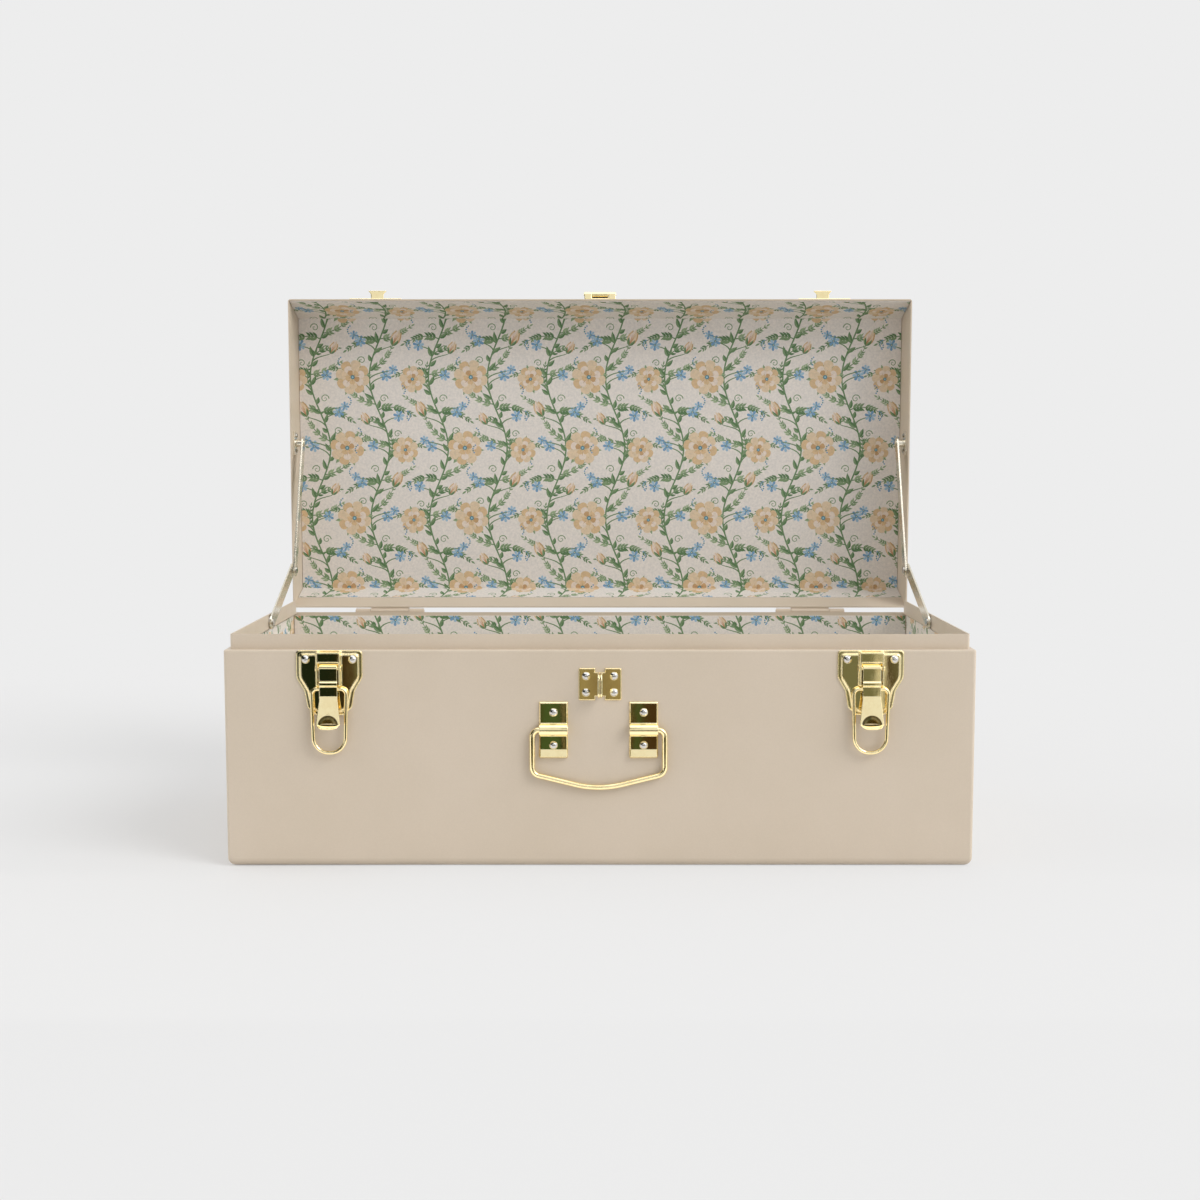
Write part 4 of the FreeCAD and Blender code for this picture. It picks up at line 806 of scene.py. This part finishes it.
# Solved from the photograph: straight before the trunk, looking down a little
CAMERA_PLACE = (0, -1.302, 0.3023)
CAMERA_PITCH = math.radians(84.59)
camera_data = bpy.data.cameras.new("camera")
camera_data.lens = 50
camera_data.sensor_width = 36
camera = bpy.data.objects.new("camera", camera_data)
camera.location = CAMERA_PLACE
camera.rotation_euler = (CAMERA_PITCH, 0, 0)
bpy.context.scene.collection.objects.link(camera)
bpy.context.scene.camera = camera

BACKGROUND = srgb(237, 237, 237)


def seen_directly(shader):
    """1 for camera, glossy and transmission rays, 0 for the light that falls on things."""
    path = shader.node("ShaderNodeLightPath").outputs
    glossy = shader.math("MAXIMUM", path["Is Glossy Ray"], path["Is Transmission Ray"])
    return shader.math("MAXIMUM", path["Is Camera Ray"], glossy)


def stage_mesh(name, points, faces, material):
    mesh = bpy.data.meshes.new(name)
    mesh.from_pydata(points, [], faces)
    mesh.materials.append(material)
    thing = bpy.data.objects.new(name, mesh)
    bpy.context.scene.collection.objects.link(thing)
    return thing


def seamless_floor():
    """A pale floor with the trunk's shadow, which fades with distance into the background."""
    shader = Shader("pale_floor")
    shader.set(Base_Color=(0.76, 0.76, 0.76, 1), Roughness=0.9, Specular_IOR_Level=0.1)
    length = shader.node("ShaderNodeVectorMath", operation="LENGTH")
    shader.link(shader.place, length.inputs[0])
    near, far = 0.7, 1.5
    away = shader.map_range(length.outputs["Value"], near, far, 0.0, 1.0)
    shaded_side, lit_side = 0.35, 0.65
    aside = shader.map_range(shader.along("X"), -0.26, -0.1, shaded_side, lit_side)
    share = shader.math("MAXIMUM", aside, away)
    glow = shader.node("ShaderNodeEmission")
    glow.inputs["Color"].default_value = BACKGROUND
    mixed = shader.node("ShaderNodeMixShader")
    shader.link(shader.math("MULTIPLY", share, seen_directly(shader)), mixed.inputs["Fac"])
    shader.link(shader.surface.outputs["BSDF"], mixed.inputs[1])
    shader.link(glow.outputs["Emission"], mixed.inputs[2])
    shader.link(mixed.outputs["Shader"], shader.tree.nodes["Material Output"].inputs["Surface"])
    reach = 12
    corners = [(-reach, -reach, 0), (reach, -reach, 0), (reach, reach, 0), (-reach, reach, 0)]
    stage_mesh("floor", corners, [(0, 1, 2, 3)], shader.material)


seamless_floor()


def studio_world():
    """Soft light, most from the sides and least from the front; even grey where it is seen."""
    world = bpy.data.worlds.new("studio")
    bpy.context.scene.world = world
    world.use_nodes = True
    sky = Nodes(world.node_tree)
    direction = sky.node("ShaderNodeTexCoord").outputs["Generated"]
    split = sky.node("ShaderNodeSeparateXYZ")
    sky.link(direction, split.inputs["Vector"])
    overhead = sky.map_range(split.outputs["Z"], 0.1, 0.9, 1.0, 0.7)
    leaning = sky.node("ShaderNodeVectorMath", operation="DOT_PRODUCT")
    leaning.inputs[1].default_value = (0, 1, 0.7)
    sky.link(direction, leaning.inputs[0])
    from_front = sky.map_range(leaning.outputs["Value"], -0.95, -0.1, 0.2, 1.0)
    aside = sky.math("MULTIPLY", split.outputs["X"], split.outputs["X"])
    from_sides = sky.map_range(aside, 0.35, 0.85, 0.95, 2.4)
    light = sky.tree.nodes["Background"]
    upper = sky.math("MULTIPLY", overhead, from_front)
    sky.link(sky.math("MULTIPLY", upper, from_sides), light.inputs["Color"])
    even = sky.node("ShaderNodeBackground")
    even.inputs["Color"].default_value = BACKGROUND
    pick = sky.node("ShaderNodeMixShader")
    sky.link(seen_directly(sky), pick.inputs["Fac"])
    sky.link(light.outputs["Background"], pick.inputs[1])
    sky.link(even.outputs["Background"], pick.inputs[2])
    sky.link(pick.outputs["Shader"], sky.tree.nodes["World Output"].inputs["Surface"])


studio_world()


def sun(name, strength, towards, spread):
    data = bpy.data.lights.new(name, "SUN")
    data.energy = strength
    data.angle = math.radians(spread)
    lamp = bpy.data.objects.new(name, data)
    lamp.rotation_euler = Vector(towards).to_track_quat("Z", "Y").to_euler()
    bpy.context.scene.collection.objects.link(lamp)


sun("key", 1.2, (0.64, -0.45, 0.62), 32)


def reflected_card(name, points, faces, tones):
    """A card that only the metal sees; each corner glows with its own tone."""
    shader = Shader(name)
    glow = shader.node("ShaderNodeEmission")
    tone = shader.node("ShaderNodeVertexColor", layer_name="tone").outputs["Color"]
    shader.link(tone, glow.inputs["Color"])
    shader.link(glow.outputs["Emission"], shader.tree.nodes["Material Output"].inputs["Surface"])
    card = stage_mesh(name, points, faces, shader.material)
    layer = card.data.color_attributes.new("tone", "FLOAT_COLOR", "POINT")
    layer.data.foreach_set("color", [value for tone in tones for value in (*tone, 1)])
    card.visible_camera = False
    card.visible_diffuse = False
    card.visible_shadow = False
    card.visible_transmission = False
    card.visible_volume_scatter = False


BLACK = (0.012, 0.018, 0.008)
MOSS = (0.06, 0.098, 0.032)
UMBER = (0.06, 0.035, 0.012)
BRONZE = (0.34, 0.28, 0.14)
BRONZE_DARK = (0.24, 0.19, 0.1)
OLIVE = (0.17, 0.17, 0.10)
PALE = (0.85, 0.8, 0.65)
# The dark half of the room: where each tone stands, as the place on the trunk that mirrors it
drapes = (
    (-0.33, BLACK), (-0.188, BLACK), (-0.178, UMBER), (-0.168, OLIVE), (-0.16, BLACK),
    (-0.0435, UMBER), (-0.042, MOSS), (-0.029, MOSS), (-0.0275, BLACK), (-0.025, BRONZE_DARK),
    (-0.0235, BLACK), (-0.0205, MOSS), (-0.0195, BLACK), (-0.018, BLACK), (-0.0165, BRONZE),
    (0.0, BRONZE_DARK), (0.018, BRONZE), (0.0205, UMBER), (0.027, MOSS), (0.032, UMBER),
    (0.044, UMBER), (0.06, OLIVE), (0.194, OLIVE), (0.199, PALE), (0.204, UMBER),
    (0.216, OLIVE), (0.3, OLIVE),
)
# The polished fronts of the fittings, and how far the camera stands before them
FRONT_Y = -0.14
CAMERA_REACH = 1.16
# The upright part of the drapes and the flags stand here
BACK_Y = -0.95
# A card on the floor lies this high above it
ON_FLOOR = 0.003
# Points of the black flag: x, y and its lower edge
FLAG = (
    (-0.25, BACK_Y, 0.65),
    (-0.49, BACK_Y, 0.55),
    (-0.5, BACK_Y, 0.2),
    (-1.3, -0.6, 0.2),
    (-1.3, 0.2, 0.2),
)
FLAG_TOP = 1.4


def dark_room():
    """Drapes before the trunk, a black flag high on its left and a brown one for the hasp."""
    points = []
    tones = []
    for place, tone in drapes:
        for y, z in ((-0.45, ON_FLOOR), (BACK_Y, ON_FLOOR), (BACK_Y, 0.12)):
            points.append((place * (1 + (FRONT_Y - y) / CAMERA_REACH), y, z))
            tones.append(tone)
    faces = []
    for first in range(0, len(points) - 3, 3):
        for row in (0, 1):
            corner = first + row
            faces.append((corner, corner + 1, corner + 4, corner + 3))
    corner = len(points)
    for x, y, bottom in FLAG:
        points += [(x, y, bottom), (x, y, FLAG_TOP)]
        tones += [BLACK, BLACK]
    for first in range(corner, len(points) - 2, 2):
        faces.append((first, first + 2, first + 3, first + 1))
    corner = len(points)
    for z, tone in ((0.48, BLACK), (0.56, BRONZE_DARK), (0.7, BRONZE)):
        points += [(-0.05, BACK_Y, z), (0.05, BACK_Y, z)]
        tones += [tone, tone]
    for first in range(corner, len(points) - 2, 2):
        faces.append((first, first + 1, first + 3, first + 2))
    reflected_card("drapes", points, faces, tones)


dark_room()
WHITE = (1.25, 1.2, 1.15)
BRIGHT = (1.7, 1.7, 1.7)
bounce = [(-0.8, -0.45, 0.002), (0.8, -0.45, 0.002), (0.8, -0.15, 0.002), (-0.8, -0.15, 0.002)]
softbox_right = [(1.3, -0.7, 0.1), (1.3, 0.9, 0.1), (1.1, 0.9, 1.3), (1.1, -0.7, 1.3)]
softbox_top = [(-0.9, -1.0, 1.5), (0.9, -1.0, 1.5), (0.9, 0.7, 1.6), (-0.9, 0.7, 1.6)]
reflected_card("bounce", bounce, [(0, 1, 2, 3)], [WHITE] * 4)
reflected_card("softbox_right", softbox_right, [(0, 1, 2, 3)], [BRIGHT] * 4)
reflected_card("softbox_top", softbox_top, [(0, 1, 2, 3)], [BRIGHT] * 4)

bpy.context.scene.view_settings.view_transform = "Standard"
